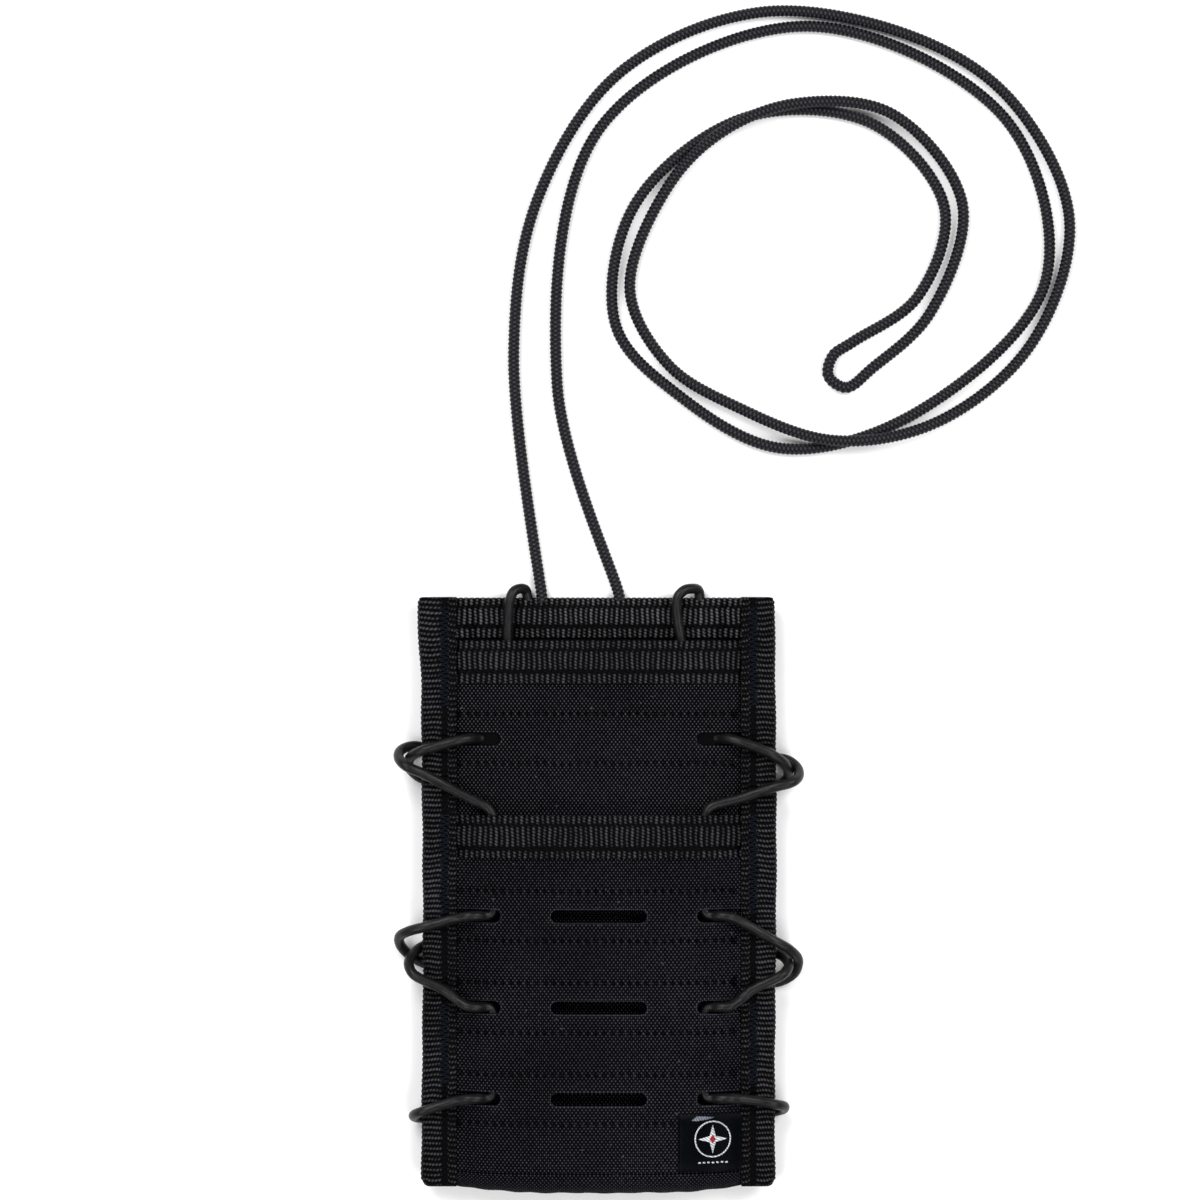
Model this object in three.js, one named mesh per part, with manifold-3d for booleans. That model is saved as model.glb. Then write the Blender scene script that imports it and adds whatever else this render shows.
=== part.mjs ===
// A padded neck pouch wallet, lying on its back. Millimetres: +X right, +Y towards the mouth,
// +Z out of the front. The origin is under the middle of the pouch, on the surface it lies on.
import * as THREE from 'three';
import { mergeVertices } from 'three/addons/utils/BufferGeometryUtils.js';
import Module from 'manifold-3d';

const wasm = await Module();
wasm.setup();

// Outline of the pouch.
const HALF_WIDTH = 47.4;
const TOP_Y = 77.6;
const BOTTOM_Y = -81.3;
const MAIN_MOUTH_Y = 66.1;
const FRONT_MOUTH_Y = 19.7;
const FOLD_START_Y = -75.5;
const CLEARANCE = 0.3;

// Cloth thicknesses.
const FABRIC = 0.5;
const LINING = 0.3;
const TAPE = 0.5;
const FOAM = 2.2;

// Folded tapes: how far each reaches in from the edge that it covers.
const SIDE_TAPE_REACH = 9.4;
const CROSS_TAPE_REACH = 11.3;
const TOP_TAPE_REACH = 10.7;
const SEAM_INNER_X = HALF_WIDTH - SIDE_TAPE_REACH;
const CROWN_HALF = SEAM_INNER_X - CLEARANCE;
const SEAM_ALLOWANCE_X = 46;

// Heights of the layers where the sides are sewn together, and how far each swells in the middle.
const SEAM_BACK_Z = 4.9;
const SEAM_LINING_Z = 5.7;
const SEAM_MAIN_Z = 6.3;
const SEAM_FRONT_Z = 7.1;
const MAIN_SWELL = 2.7;
const FRONT_SWELL = 7.9;
const FRONT_MOUTH_FLARE = 0.6;
const FLARE_START_Y = -5;
const FLARE_LENGTH = 20;
const SIDE_TAPE_LOW_Z = SEAM_BACK_Z - CLEARANCE - TAPE;
const SIDE_TAPE_HIGH_Z = SEAM_FRONT_Z + FABRIC + CLEARANCE + TAPE;

// The back is flat between its two raised margins.
const BACK_FLAT_HALF = 31;
const FOAM_Z = FABRIC + CLEARANCE;
const BACK_LINING_Z = FOAM_Z + FOAM + CLEARANCE;
const FOAM_TOP_Y = 61;
const TOP_SQUEEZE_Y = 62;
const TOP_SQUEEZE_LENGTH = 4;

// Each front panel parts here into a middle that opens and two edges that stay sewn down.
const SPLIT_X = 24.5;

// Laser-cut slots on a webbing grid.
const SLOT_HEIGHT = 3.6;
const SLOT_INNER_X = 26;
const SLOT_OUTER_X = 41;
const MIDDLE_SLOT_HALF = 12.85;
const ROW_1_Y = 39.9;
const FRONT_ROWS_Y = [-7.1, -31.4, -55.7];
const STRIP_HALF_HEIGHT = 4.8;
const STRIP_INNER_X = SPLIT_X + CLEARANCE / 2;

// Cords.
const LACE_DIAMETER = 2.75;
const NECK_CORD_DIAMETER = 3;
const CORD_SIDES = 8;

const BLACK_FABRIC = new THREE.Color(0.022, 0.022, 0.026);
const BLACK_TAPE = new THREE.Color(0.028, 0.028, 0.033);
const CORD_CHARCOAL = new THREE.Color(0.05, 0.05, 0.058);

const pouch = new THREE.Group();

function addMesh(name, geometry, color, roughness = 0.9) {
  const material = new THREE.MeshStandardMaterial({ color, roughness, metalness: 0 });
  const mesh = new THREE.Mesh(closed(geometry), material);
  mesh.name = name;
  pouch.add(mesh);
  return mesh;
}

// Welds a geometry to bare positions and turns its faces outwards.
function closed(geometry) {
  const bare = geometry.clone();
  bare.deleteAttribute('normal');
  bare.deleteAttribute('uv');
  const welded = mergeVertices(bare, 1e-4);
  const position = welded.getAttribute('position');
  const index = welded.getIndex();
  const a = new THREE.Vector3();
  const b = new THREE.Vector3();
  const c = new THREE.Vector3();
  let volume = 0;
  for (let i = 0; i < index.count; i += 3) {
    a.fromBufferAttribute(position, index.getX(i));
    b.fromBufferAttribute(position, index.getX(i + 1));
    c.fromBufferAttribute(position, index.getX(i + 2));
    volume += a.dot(b.cross(c));
  }
  if (volume < 0) {
    for (let i = 0; i < index.count; i += 3) {
      const second = index.getX(i + 1);
      index.setX(i + 1, index.getX(i + 2));
      index.setX(i + 2, second);
    }
  }
  return welded;
}

function solid(geometry) {
  const welded = closed(geometry);
  return new wasm.Manifold(new wasm.Mesh({
    numProp: 3,
    vertProperties: new Float32Array(welded.getAttribute('position').array),
    triVerts: new Uint32Array(welded.getIndex().array),
  }));
}

// Cuts every cutter out of the geometry.
function cut(geometry, cutters) {
  let body = solid(geometry);
  for (const cutter of cutters) {
    body = body.subtract(solid(cutter));
  }
  const mesh = body.getMesh();
  const result = new THREE.BufferGeometry();
  result.setAttribute('position', new THREE.BufferAttribute(new Float32Array(mesh.vertProperties), 3));
  result.setIndex(new THREE.BufferAttribute(new Uint32Array(mesh.triVerts), 1));
  return result;
}

function smooth(t) {
  const s = THREE.MathUtils.clamp(t, 0, 1);
  return s * s * (3 - 2 * s);
}

// 1 in the middle of a front panel, 0 at its sewn sides.
function crown(x) {
  return 1 - Math.min(1, Math.abs(x) / CROWN_HALF) ** 4;
}

// 0 on the flat of the back, 1 on its raised margins.
function margin(x) {
  return smooth((Math.abs(x) - BACK_FLAT_HALF) / (CROWN_HALF - BACK_FLAT_HALF));
}

// 0 over the foam, 1 where the top edge is pressed flat inside its tape.
function squeeze(y) {
  return smooth((y - TOP_SQUEEZE_Y) / TOP_SQUEEZE_LENGTH);
}

// Undersides of the layers.
function backZ(x, y) {
  const lift = FOAM_Z * squeeze(y);
  return SEAM_BACK_Z * margin(x) + lift * (1 - margin(x));
}

function backLiningZ(x, y) {
  const pressed = FOAM_Z + FABRIC + CLEARANCE;
  const middle = THREE.MathUtils.lerp(BACK_LINING_Z, pressed, squeeze(y));
  return THREE.MathUtils.lerp(middle, SEAM_LINING_Z, margin(x));
}

function mainZ(x) {
  return SEAM_MAIN_Z + MAIN_SWELL * crown(x);
}

function frontZ(x, y) {
  const flare = FRONT_MOUTH_FLARE * smooth((y - FLARE_START_Y) / FLARE_LENGTH);
  return SEAM_FRONT_Z + (FRONT_SWELL + flare) * crown(x);
}

// `count` even steps from one value to another, both ends included.
function lines(from, to, count) {
  return Array.from({ length: count + 1 }, (_, i) => THREE.MathUtils.lerp(from, to, i / count));
}

// A closed sheet over the grid lines x and y, `thickness` above the underside `lower(x, y)`.
function sheet({ x, y, lower, thickness }) {
  const geometry = new THREE.BoxGeometry(1, 1, 1, x.length - 1, y.length - 1, 1);
  const position = geometry.getAttribute('position');
  for (let i = 0; i < position.count; i += 1) {
    const px = x[Math.round((position.getX(i) + 0.5) * (x.length - 1))];
    const py = y[Math.round((position.getY(i) + 0.5) * (y.length - 1))];
    const top = position.getZ(i) > 0 ? thickness : 0;
    position.setXYZ(i, px, py, lower(px, py) + top);
  }
  return geometry;
}

// A tape or cloth folded in a U, with one section at each value of `along`. Its fold reaches `edge` and
// starts foldDepth inside it, its two leaves reach back to `back`, or it has none when back is null.
// low and high give the heights of its outer faces.
function folded({ along, edge, back, foldDepth, low, high, thickness, place }) {
  const leafSteps = back === null ? 0 : 1;
  const foldSteps = 6;
  const total = foldSteps + 2 * leafSteps;
  const geometry = new THREE.BoxGeometry(1, 1, 1, along.length - 1, total, 1);
  const position = geometry.getAttribute('position');
  for (let i = 0; i < position.count; i += 1) {
    const a = along[Math.round((position.getX(i) + 0.5) * (along.length - 1))];
    const step = Math.round((position.getY(i) + 0.5) * total);
    const inset = position.getZ(i) > 0 ? 0 : thickness;
    const outer = edge(a);
    const half = (high(a) - low(a)) / 2;
    const middle = (high(a) + low(a)) / 2;
    const turn = THREE.MathUtils.clamp((step - leafSteps) / foldSteps, 0, 1);
    const angle = (turn - 0.5) * Math.PI;
    const onLeaf = leafSteps > 0 && (step === 0 || step === total);
    const start = outer - Math.sign(outer) * foldDepth(a);
    const reach = Math.sign(outer) * (foldDepth(a) - inset) * Math.cos(angle);
    const across = onLeaf ? back : start + reach;
    const z = middle + (half - inset) * Math.sin(angle);
    position.setXYZ(i, ...place(a, across, z));
  }
  return geometry;
}

const acrossPouch = (a, across, z) => [a, across, z];
const alongPouch = (a, across, z) => [across, a, z];

// A slot cutter with round ends, from x0 to x1 at height y.
function slotCutter(x0, x1, y) {
  const radius = SLOT_HEIGHT / 2;
  const outline = new THREE.Shape();
  outline.absarc(x1 - radius, 0, radius, -Math.PI / 2, Math.PI / 2, false);
  outline.absarc(x0 + radius, 0, radius, Math.PI / 2, Math.PI * 1.5, false);
  outline.closePath();
  const through = new THREE.ExtrudeGeometry(outline, { depth: 30, bevelEnabled: false, curveSegments: 6 });
  return through.translate(0, y, 0);
}

function sideSlot(side, y) {
  return side < 0 ? slotCutter(-SLOT_OUTER_X, -SLOT_INNER_X, y) : slotCutter(SLOT_INNER_X, SLOT_OUTER_X, y);
}

// Takes the same number of steps between every two points, so that tight bends get short steps.
class RouteCurve extends THREE.CatmullRomCurve3 {
  constructor(points, floor) {
    super(points.map((p) => new THREE.Vector3(...p)));
    this.floor = floor;
  }

  getUtoTmapping(u) {
    return u;
  }

  getPoint(t, target) {
    const point = super.getPoint(t, target);
    point.z = Math.max(point.z, this.floor);
    return point;
  }
}

function tube(points, diameter, stepsPerPoint) {
  const section = new THREE.Shape();
  const radius = diameter / 2;
  for (let i = 0; i < CORD_SIDES; i += 1) {
    const angle = ((i + 0.5) / CORD_SIDES) * 2 * Math.PI;
    section[i ? 'lineTo' : 'moveTo'](radius * Math.cos(angle), radius * Math.sin(angle));
  }
  section.closePath();
  const extrudePath = new RouteCurve(points, radius);
  const steps = (points.length - 1) * stepsPerPoint;
  return new THREE.ExtrudeGeometry(section, { steps, extrudePath, bevelEnabled: false });
}

const SIDES = [['left', -1], ['right', 1]];

// Grid lines from the split line outwards on one side, finest over the crown's slope.
function outwards(side, outer) {
  const half = [...lines(STRIP_INNER_X, Math.min(outer, CROWN_HALF), 7), outer];
  const grid = outer > CROWN_HALF ? half : half.slice(0, -1);
  return side < 0 ? grid.map((x) => -x).reverse() : grid;
}

const BACK_GRID_X = [
  -SEAM_ALLOWANCE_X,
  ...lines(-CROWN_HALF, -BACK_FLAT_HALF, 4),
  ...lines(BACK_FLAT_HALF, CROWN_HALF, 4),
  SEAM_ALLOWANCE_X,
];
const TOP_TAPE_X = [...lines(-CROWN_HALF, -BACK_FLAT_HALF, 4), ...lines(BACK_FLAT_HALF, CROWN_HALF, 4)];

function buildBack() {
  const y = [
    FOLD_START_Y + CLEARANCE,
    ...lines(TOP_SQUEEZE_Y, TOP_SQUEEZE_Y + TOP_SQUEEZE_LENGTH, 4),
    TOP_Y - 0.8,
  ];
  addMesh('back_outer_fabric', sheet({ x: BACK_GRID_X, y, lower: backZ, thickness: FABRIC }), BLACK_FABRIC);
  const foamHalf = BACK_FLAT_HALF - 0.5;
  const foam = sheet({
    x: [-foamHalf, foamHalf], y: [FOLD_START_Y + 3, FOAM_TOP_Y], lower: () => FOAM_Z, thickness: FOAM,
  });
  addMesh('back_foam_pad', foam, new THREE.Color(0.12, 0.12, 0.13), 1);
  addMesh('back_lining', sheet({ x: BACK_GRID_X, y, lower: backLiningZ, thickness: LINING }), BLACK_FABRIC);
}

// The cloth turns round the bottom of the pouch in one soft roll, tighter at the sewn sides.
function buildBottomFold() {
  const depth = (x) => THREE.MathUtils.lerp(3, FOLD_START_Y - BOTTOM_Y, crown(x * 0.9));
  const geometry = folded({
    along: [-SEAM_ALLOWANCE_X, ...lines(-CROWN_HALF, CROWN_HALF, 18), SEAM_ALLOWANCE_X],
    edge: (x) => FOLD_START_Y - depth(x),
    back: null,
    foldDepth: depth,
    low: (x) => backZ(x, FOLD_START_Y),
    high: (x) => frontZ(x, FOLD_START_Y) + FABRIC,
    thickness: FABRIC,
    place: acrossPouch,
  });
  addMesh('bottom_fold', geometry, BLACK_FABRIC);
}

function buildTopBinding() {
  const geometry = folded({
    along: TOP_TAPE_X,
    edge: () => TOP_Y,
    back: TOP_Y - TOP_TAPE_REACH,
    foldDepth: () => 0.7,
    low: (x) => SIDE_TAPE_LOW_Z * margin(x),
    high: (x) => backLiningZ(x, TOP_Y) + LINING + CLEARANCE + TAPE,
    thickness: TAPE,
    place: acrossPouch,
  });
  addMesh('top_binding', geometry, BLACK_TAPE);
}

// A mouth tape folds over the top edge of a front panel, and its back leaf is pressed flat at the seams.
function buildMouthBinding(name, mouthY, underside) {
  const wrap = CLEARANCE + TAPE;
  const geometry = folded({
    along: lines(-CROWN_HALF, CROWN_HALF, 15),
    edge: () => mouthY,
    back: mouthY - CROSS_TAPE_REACH,
    foldDepth: () => 0.7,
    low: (x) => underside(x) - wrap * smooth(crown(x) / 0.4),
    high: (x) => underside(x) + FABRIC + wrap,
    thickness: TAPE,
    place: acrossPouch,
  });
  addMesh(name, geometry, BLACK_TAPE);
}

function buildSideBindings() {
  for (const [label, side] of SIDES) {
    const geometry = folded({
      along: [-79.4, TOP_Y],
      edge: () => side * HALF_WIDTH,
      back: side * SEAM_INNER_X,
      foldDepth: () => 1.6,
      low: () => SIDE_TAPE_LOW_Z,
      high: () => SIDE_TAPE_HIGH_Z,
      thickness: TAPE,
      place: alongPouch,
    });
    addMesh(`side_binding_${label}`, geometry, BLACK_TAPE);
  }
}

// Rows of tight zigzag stitching over the side bindings, beside each pocket layer.
function buildBartacks() {
  const spans = [[48.6, 75], [-6.8, 19.7], [-52, -30.5]];
  const width = 3.2;
  const height = 0.3;
  for (const [label, side] of SIDES) {
    spans.forEach(([y0, y1], i) => {
      const geometry = new THREE.BoxGeometry(width, y1 - y0, height);
      geometry.translate(side * 41.2, (y0 + y1) / 2, SIDE_TAPE_HIGH_Z + CLEARANCE + height / 2);
      addMesh(`bartack_${label}_${i + 1}`, geometry, new THREE.Color(0.03, 0.035, 0.06));
    });
  }
}

function buildMainPanel() {
  const inner = SPLIT_X - CLEARANCE / 2;
  const bottom = FOLD_START_Y + 1;
  const top = MAIN_MOUTH_Y - 0.9;
  const liningTop = MAIN_MOUTH_Y - CROSS_TAPE_REACH - CLEARANCE;
  const x = lines(-inner, inner, 11);
  const fabric = sheet({ x, y: [bottom, top], lower: mainZ, thickness: FABRIC });
  addMesh('main_panel_fabric', fabric, BLACK_FABRIC);
  const liningZ = (x) => mainZ(x) - CLEARANCE - LINING;
  const lining = sheet({ x, y: [bottom, liningTop], lower: liningZ, thickness: LINING });
  addMesh('main_panel_lining', lining, BLACK_FABRIC);
  buildMouthBinding('main_mouth_binding', MAIN_MOUTH_Y, mainZ);
  for (const [label, side] of SIDES) {
    const edgeX = outwards(side, SEAM_ALLOWANCE_X);
    const edge = sheet({ x: edgeX, y: [bottom, liningTop], lower: mainZ, thickness: FABRIC });
    addMesh(`main_panel_edge_${label}`, cut(edge, [sideSlot(side, ROW_1_Y)]), BLACK_FABRIC);
  }
}

// A strip of webbing behind a slot row, cut with the same slot.
function stripBehind(x, rowY, underside, slot) {
  const lower = (px, py) => underside(px, py) - CLEARANCE - LINING;
  const y = lines(rowY - STRIP_HALF_HEIGHT, rowY + STRIP_HALF_HEIGHT, 2);
  return cut(sheet({ x, y, lower, thickness: LINING }), [slot]);
}

function buildFrontPocket() {
  const inner = SPLIT_X - CLEARANCE / 2;
  const x = lines(-inner, inner, 11);
  const flat = FOLD_START_Y + CLEARANCE;
  const y = [flat, ...lines(FLARE_START_Y, FRONT_MOUTH_Y - 0.9, 3)];
  const middleSlots = FRONT_ROWS_Y.map((row) => slotCutter(-MIDDLE_SLOT_HALF, MIDDLE_SLOT_HALF, row));
  const fabric = sheet({ x, y, lower: frontZ, thickness: FABRIC });
  addMesh('front_pocket_fabric', cut(fabric, middleSlots), BLACK_FABRIC);
  buildMouthBinding('front_mouth_binding', FRONT_MOUTH_Y, (x) => frontZ(x, FRONT_MOUTH_Y));
  FRONT_ROWS_Y.forEach((row, i) => {
    const strip = stripBehind(x, row, frontZ, middleSlots[i]);
    addMesh(`row_${i + 2}_reinforcement`, strip, BLACK_TAPE);
  });
  const edgeTop = FRONT_MOUTH_Y - CROSS_TAPE_REACH - CLEARANCE;
  for (const [label, side] of SIDES) {
    const slots = FRONT_ROWS_Y.map((row) => sideSlot(side, row));
    const edgeX = outwards(side, SEAM_ALLOWANCE_X);
    const edgeY = [flat, ...lines(FLARE_START_Y, edgeTop, 2)];
    const edge = sheet({ x: edgeX, y: edgeY, lower: frontZ, thickness: FABRIC });
    addMesh(`front_pocket_edge_${label}`, cut(edge, slots), BLACK_FABRIC);
  }
}

// The strips behind the side slots stop short of the sewn seam.
function buildEdgeReinforcements() {
  const stripOuter = 36;
  for (const [label, side] of SIDES) {
    const x = outwards(side, stripOuter);
    const first = stripBehind(x, ROW_1_Y, mainZ, sideSlot(side, ROW_1_Y));
    addMesh(`row_1_reinforcement_${label}`, first, BLACK_TAPE);
    FRONT_ROWS_Y.forEach((row, i) => {
      const strip = stripBehind(x, row, frontZ, sideSlot(side, row));
      addMesh(`row_${i + 2}_reinforcement_${label}`, strip, BLACK_TAPE);
    });
  }
}

// A folded woven label, sewn in along its right edge and free at its left fold.
function buildLabel() {
  const lower = (x, y) => frontZ(x, y) + FABRIC + CLEARANCE;
  const x = lines(21.2, CROWN_HALF - 0.2, 10);
  const geometry = sheet({ x, y: [-75, -59.8], lower, thickness: 0.8 });
  addMesh('woven_label', geometry, new THREE.Color(0.02, 0.022, 0.035), 0.5);
}

// The elastic lace on the left: out of the first slot, round the edge and back, behind the front tape,
// out of the second row, round the edge, into the third, and out of the fourth to the back.
const LACE_LEFT = [
  [-30, 40, 5.7], [-32.3, 40, 6.9], [-34.6, 40, 9.2], [-37.5, 39.5, 10.3], [-42.5, 38.1, 10.4],
  [-47, 36.8, 10.2], [-50.3, 34.9, 7.4], [-50.6, 32, 3.8], [-47.5, 29.2, 1.7], [-42.5, 28.6, 1.5],
  [-39.6, 31.5, 1.5], [-41.2, 35.6, 1.5], [-45.6, 37.2, 1.7], [-50, 37.8, 2.8], [-53, 36.6, 5.8],
  [-53.2, 34.6, 9.2], [-51.2, 32.7, 11.9], [-47, 30.8, 11.4], [-42, 28.1, 10.4], [-37, 25.4, 10.2],
  [-33, 23.4, 10.2], [-29.7, 21.7, 10.3], [-28.1, 18.9, 10.3], [-27.9, 15, 10.3], [-28, 7, 10.4],
  [-28, -1.5, 10.35], [-27.9, -4.8, 10.35], [-28.7, -6.7, 10.4], [-30.4, -7.1, 10.9],
  [-32.4, -7.1, 12.2], [-34.6, -7.2, 12.5], [-37.5, -7.8, 11.3], [-42, -8.9, 10.5], [-47, -10.3, 10.2],
  [-50.8, -11.4, 8.6], [-53.2, -13, 5.6], [-53, -15.5, 2.9], [-50.6, -18.2, 1.5], [-46.5, -20.4, 1.5],
  [-42, -20.6, 1.5], [-39.7, -18.2, 1.5], [-41.3, -15.6, 1.5], [-45.6, -15.3, 1.8], [-49, -17, 4.2],
  [-50.7, -19.9, 7.5], [-49.5, -22.6, 9.9], [-46, -24.6, 10.5], [-41, -27, 10.6], [-37.5, -29.6, 11.3],
  [-34.6, -31.2, 12.5], [-32.4, -31.4, 12.2], [-30.4, -31.4, 10.9], [-28.7, -31.8, 10.4],
  [-27.9, -33.8, 10.35], [-28, -37, 10.35], [-28, -43, 10.35], [-28, -50, 10.35], [-27.9, -53.3, 10.35],
  [-28.7, -55.3, 10.4], [-30.4, -55.7, 10.9], [-32.4, -55.7, 12.2], [-34.6, -55.8, 12.5],
  [-37.5, -56.3, 11.3], [-42, -57.6, 10.5], [-47, -59.3, 10.1], [-49.2, -60.4, 7.4], [-49.1, -61.3, 3.8],
  [-47, -61.8, 1.7], [-44.3, -62, 1.6],
];

const LACE_RIGHT = [
  [30, 40, 5.7], [32.3, 40, 6.9], [34.6, 39.9, 9.2], [37.5, 39.2, 10.3], [42, 37.6, 10.4],
  [46, 35.8, 10.3], [49.8, 32.8, 7.8], [50.5, 29.6, 4], [47.4, 27, 1.7], [42.5, 26.2, 1.5],
  [39.6, 29, 1.5], [41.2, 33, 1.5], [45.6, 34.4, 1.7], [50, 34.2, 2.7], [52.9, 32.2, 4.9],
  [53.2, 29.9, 8.2], [51.4, 28.4, 10.8], [47, 27.2, 11.3], [42, 25.6, 10.4], [37, 23.9, 10.2],
  [33, 22.9, 10.2], [29.7, 21.7, 10.3], [28.1, 18.9, 10.3], [27.9, 15, 10.3], [28, 7, 10.4],
  [28, -1.5, 10.35], [27.9, -4.8, 10.35], [28.7, -6.7, 10.4], [30.4, -7.1, 10.9], [32.4, -7.1, 12.2],
  [34.6, -7.3, 12.5], [37.8, -8.7, 11.3], [42.5, -11.4, 10.5],
  [47, -14, 10.3], [50.8, -16.3, 8.6], [53.2, -19.2, 5.4], [52.2, -22.9, 2.7], [48.5, -25.2, 1.5],
  [43, -25.4, 1.5], [39.7, -22.4, 1.5], [41, -18.6, 1.5], [45.4, -17.4, 1.8], [49.1, -18.3, 3.9],
  [50.6, -20.5, 7.4], [49.1, -22.7, 10], [46, -24.3, 10.5], [41, -26.7, 10.6], [37.5, -29.4, 11.3],
  [34.6, -31.2, 12.5], [32.4, -31.4, 12.2], [30.4, -31.4, 10.9], [28.7, -31.8, 10.4],
  [27.9, -33.8, 10.35], [28, -37, 10.35], [28, -43, 10.35], [28, -50, 10.35], [27.9, -53.3, 10.35],
  [28.7, -55.3, 10.4], [30.4, -55.7, 10.9], [32.4, -55.7, 12.2], [34.6, -55.6, 12.5],
  [37.5, -55.8, 11.3], [42.5, -56.5, 10.5], [47, -57.4, 10.1], [49.3, -58.1, 7.5], [49.2, -59.2, 3.9],
  [47, -60, 1.7], [44.3, -60.4, 1.6],
];

function flatKnot(x, y, z, rx, ry, rz) {
  return new THREE.SphereGeometry(1, 8, 6).rotateX(Math.PI / 2).scale(rx, ry, rz).translate(x, y, z);
}

function buildLaces() {
  const laces = [['left', LACE_LEFT], ['right', LACE_RIGHT]];
  for (const [label, route] of laces) {
    const side = Math.sign(route[0][0]);
    addMesh(`lace_${label}`, tube(route, LACE_DIAMETER, 1), CORD_CHARCOAL, 0.6);
    const upper = flatKnot(side * 27.2, 40, 5.6, 2.4, 2.9, 1.6);
    addMesh(`lace_knot_upper_${label}`, upper, CORD_CHARCOAL, 0.6);
    const last = route[route.length - 1];
    const lower = flatKnot(last[0] - side * 3.4, last[1], 1.7, 3, 2.9, 1.6);
    addMesh(`lace_knot_lower_${label}`, lower, CORD_CHARCOAL, 0.6);
  }
}

// Elastic loops from the top edge, over its tape and down behind the main mouth tape.
const LOOP_LEFT = [
  [-19, 78.6, 1.7], [-19.6, 79.5, 2.5], [-20.9, 79.93, 3.8], [-22.7, 79.2, 5.1], [-23.8, 76.6, 5.6],
  [-24.2, 72, 5.6], [-24.4, 66, 5.6], [-24.4, 61, 5.6], [-24.4, 56.5, 5.6],
];
const LOOP_RIGHT = [
  [27.1, 78.6, 1.7], [26.6, 79.5, 2.5], [25.2, 79.93, 3.8], [22.8, 79.5, 5.1], [21, 77.4, 5.6],
  [20.9, 73, 5.6], [21.8, 67, 5.6], [22.2, 61.5, 5.6], [22.2, 56.5, 5.6],
];

function buildRetentionLoops() {
  addMesh('retention_loop_left', tube(LOOP_LEFT, LACE_DIAMETER, 1), CORD_CHARCOAL, 0.6);
  addMesh('retention_loop_right', tube(LOOP_RIGHT, LACE_DIAMETER, 1), CORD_CHARCOAL, 0.6);
}

// The neck cord, one braided loop laid out beside the pouch in a loose double spiral.
const NECK_CORD = [
  [-15.3, 78.2, 1.5], [-22.8, 143, 1.5], [-16.5, 184, 1.5], [5.5, 218, 1.5],
  [43.5, 234.3, 1.5], [86, 227, 1.5], [111, 210, 1.5], [126, 178.5, 1.5], [115.8, 145.5, 1.5],
  [90.5, 124.5, 3.2], [63, 119.5, 4.8], [37, 128.5, 3], [18.5, 140, 1.5], [8.3, 160, 1.5],
  [18.5, 187.5, 2.2], [33, 202, 4.7], [53, 209.6, 4.7], [78.5, 206.8, 3.6], [97.3, 183, 1.5],
  [88.6, 153.6, 1.5], [73, 138.8, 1.5], [66.3, 133.8, 1.5], [61.5, 136.8, 1.5], [62.6, 142.2, 1.5],
  [68, 146, 1.5],
  [85.3, 158, 1.5], [92.5, 182, 1.5], [73, 204.5, 1.5], [39, 206, 1.5], [9.5, 182.5, 1.5],
  [4.5, 150.5, 1.5], [21, 132, 1.5], [49, 117.5, 1.5], [84.5, 126.8, 1.5], [119.5, 162, 1.5],
  [109, 205.5, 1.5], [55, 230.5, 1.5], [0.5, 203.5, 1.5], [-11.2, 135, 1.5], [5.3, 78.6, 1.5],
];

buildBack();
buildBottomFold();
buildTopBinding();
buildSideBindings();
buildBartacks();
buildMainPanel();
buildFrontPocket();
buildEdgeReinforcements();
buildLabel();
buildLaces();
buildRetentionLoops();
addMesh('neck_cord', tube(NECK_CORD, NECK_CORD_DIAMETER, 2), CORD_CHARCOAL, 0.8);

export default pouch;
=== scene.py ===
"""The looks of a neck pouch wallet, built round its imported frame.

Lengths are in millimetres in the row frame until make_mesh turns them into metres.
The front is +Z, the mouth is at +Y, and the pouch lies on its back on z = 0.
"""
import math

import bmesh
import bpy
import numpy as np
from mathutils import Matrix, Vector
from mathutils.geometry import delaunay_2d_cdt


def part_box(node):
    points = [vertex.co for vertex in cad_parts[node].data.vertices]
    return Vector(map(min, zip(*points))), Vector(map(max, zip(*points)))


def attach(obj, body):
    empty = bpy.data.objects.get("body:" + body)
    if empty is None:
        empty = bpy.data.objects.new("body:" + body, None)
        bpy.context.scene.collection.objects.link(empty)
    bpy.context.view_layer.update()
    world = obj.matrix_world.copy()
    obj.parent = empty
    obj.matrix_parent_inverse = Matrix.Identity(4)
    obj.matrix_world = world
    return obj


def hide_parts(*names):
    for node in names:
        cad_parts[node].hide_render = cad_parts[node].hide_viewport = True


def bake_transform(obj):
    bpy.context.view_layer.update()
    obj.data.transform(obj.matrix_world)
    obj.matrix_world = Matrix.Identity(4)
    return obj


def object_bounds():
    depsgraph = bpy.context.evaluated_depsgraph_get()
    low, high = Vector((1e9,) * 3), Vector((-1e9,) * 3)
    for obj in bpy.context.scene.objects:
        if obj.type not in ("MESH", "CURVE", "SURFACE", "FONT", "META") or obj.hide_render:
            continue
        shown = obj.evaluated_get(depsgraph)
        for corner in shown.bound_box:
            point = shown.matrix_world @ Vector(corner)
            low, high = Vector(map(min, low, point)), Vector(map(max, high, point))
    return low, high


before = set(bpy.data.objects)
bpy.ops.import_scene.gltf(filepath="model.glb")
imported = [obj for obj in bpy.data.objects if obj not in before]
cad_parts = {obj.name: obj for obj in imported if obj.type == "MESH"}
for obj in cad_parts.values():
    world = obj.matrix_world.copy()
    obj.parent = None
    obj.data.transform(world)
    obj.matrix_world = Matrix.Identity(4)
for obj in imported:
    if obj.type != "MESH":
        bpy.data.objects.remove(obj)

cad_low, cad_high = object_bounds()
MM = 0.001


def box_mm(node):
    low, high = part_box(node)
    return np.array(low) / MM, np.array(high) / MM


# ---- sizes, from the frame

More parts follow.
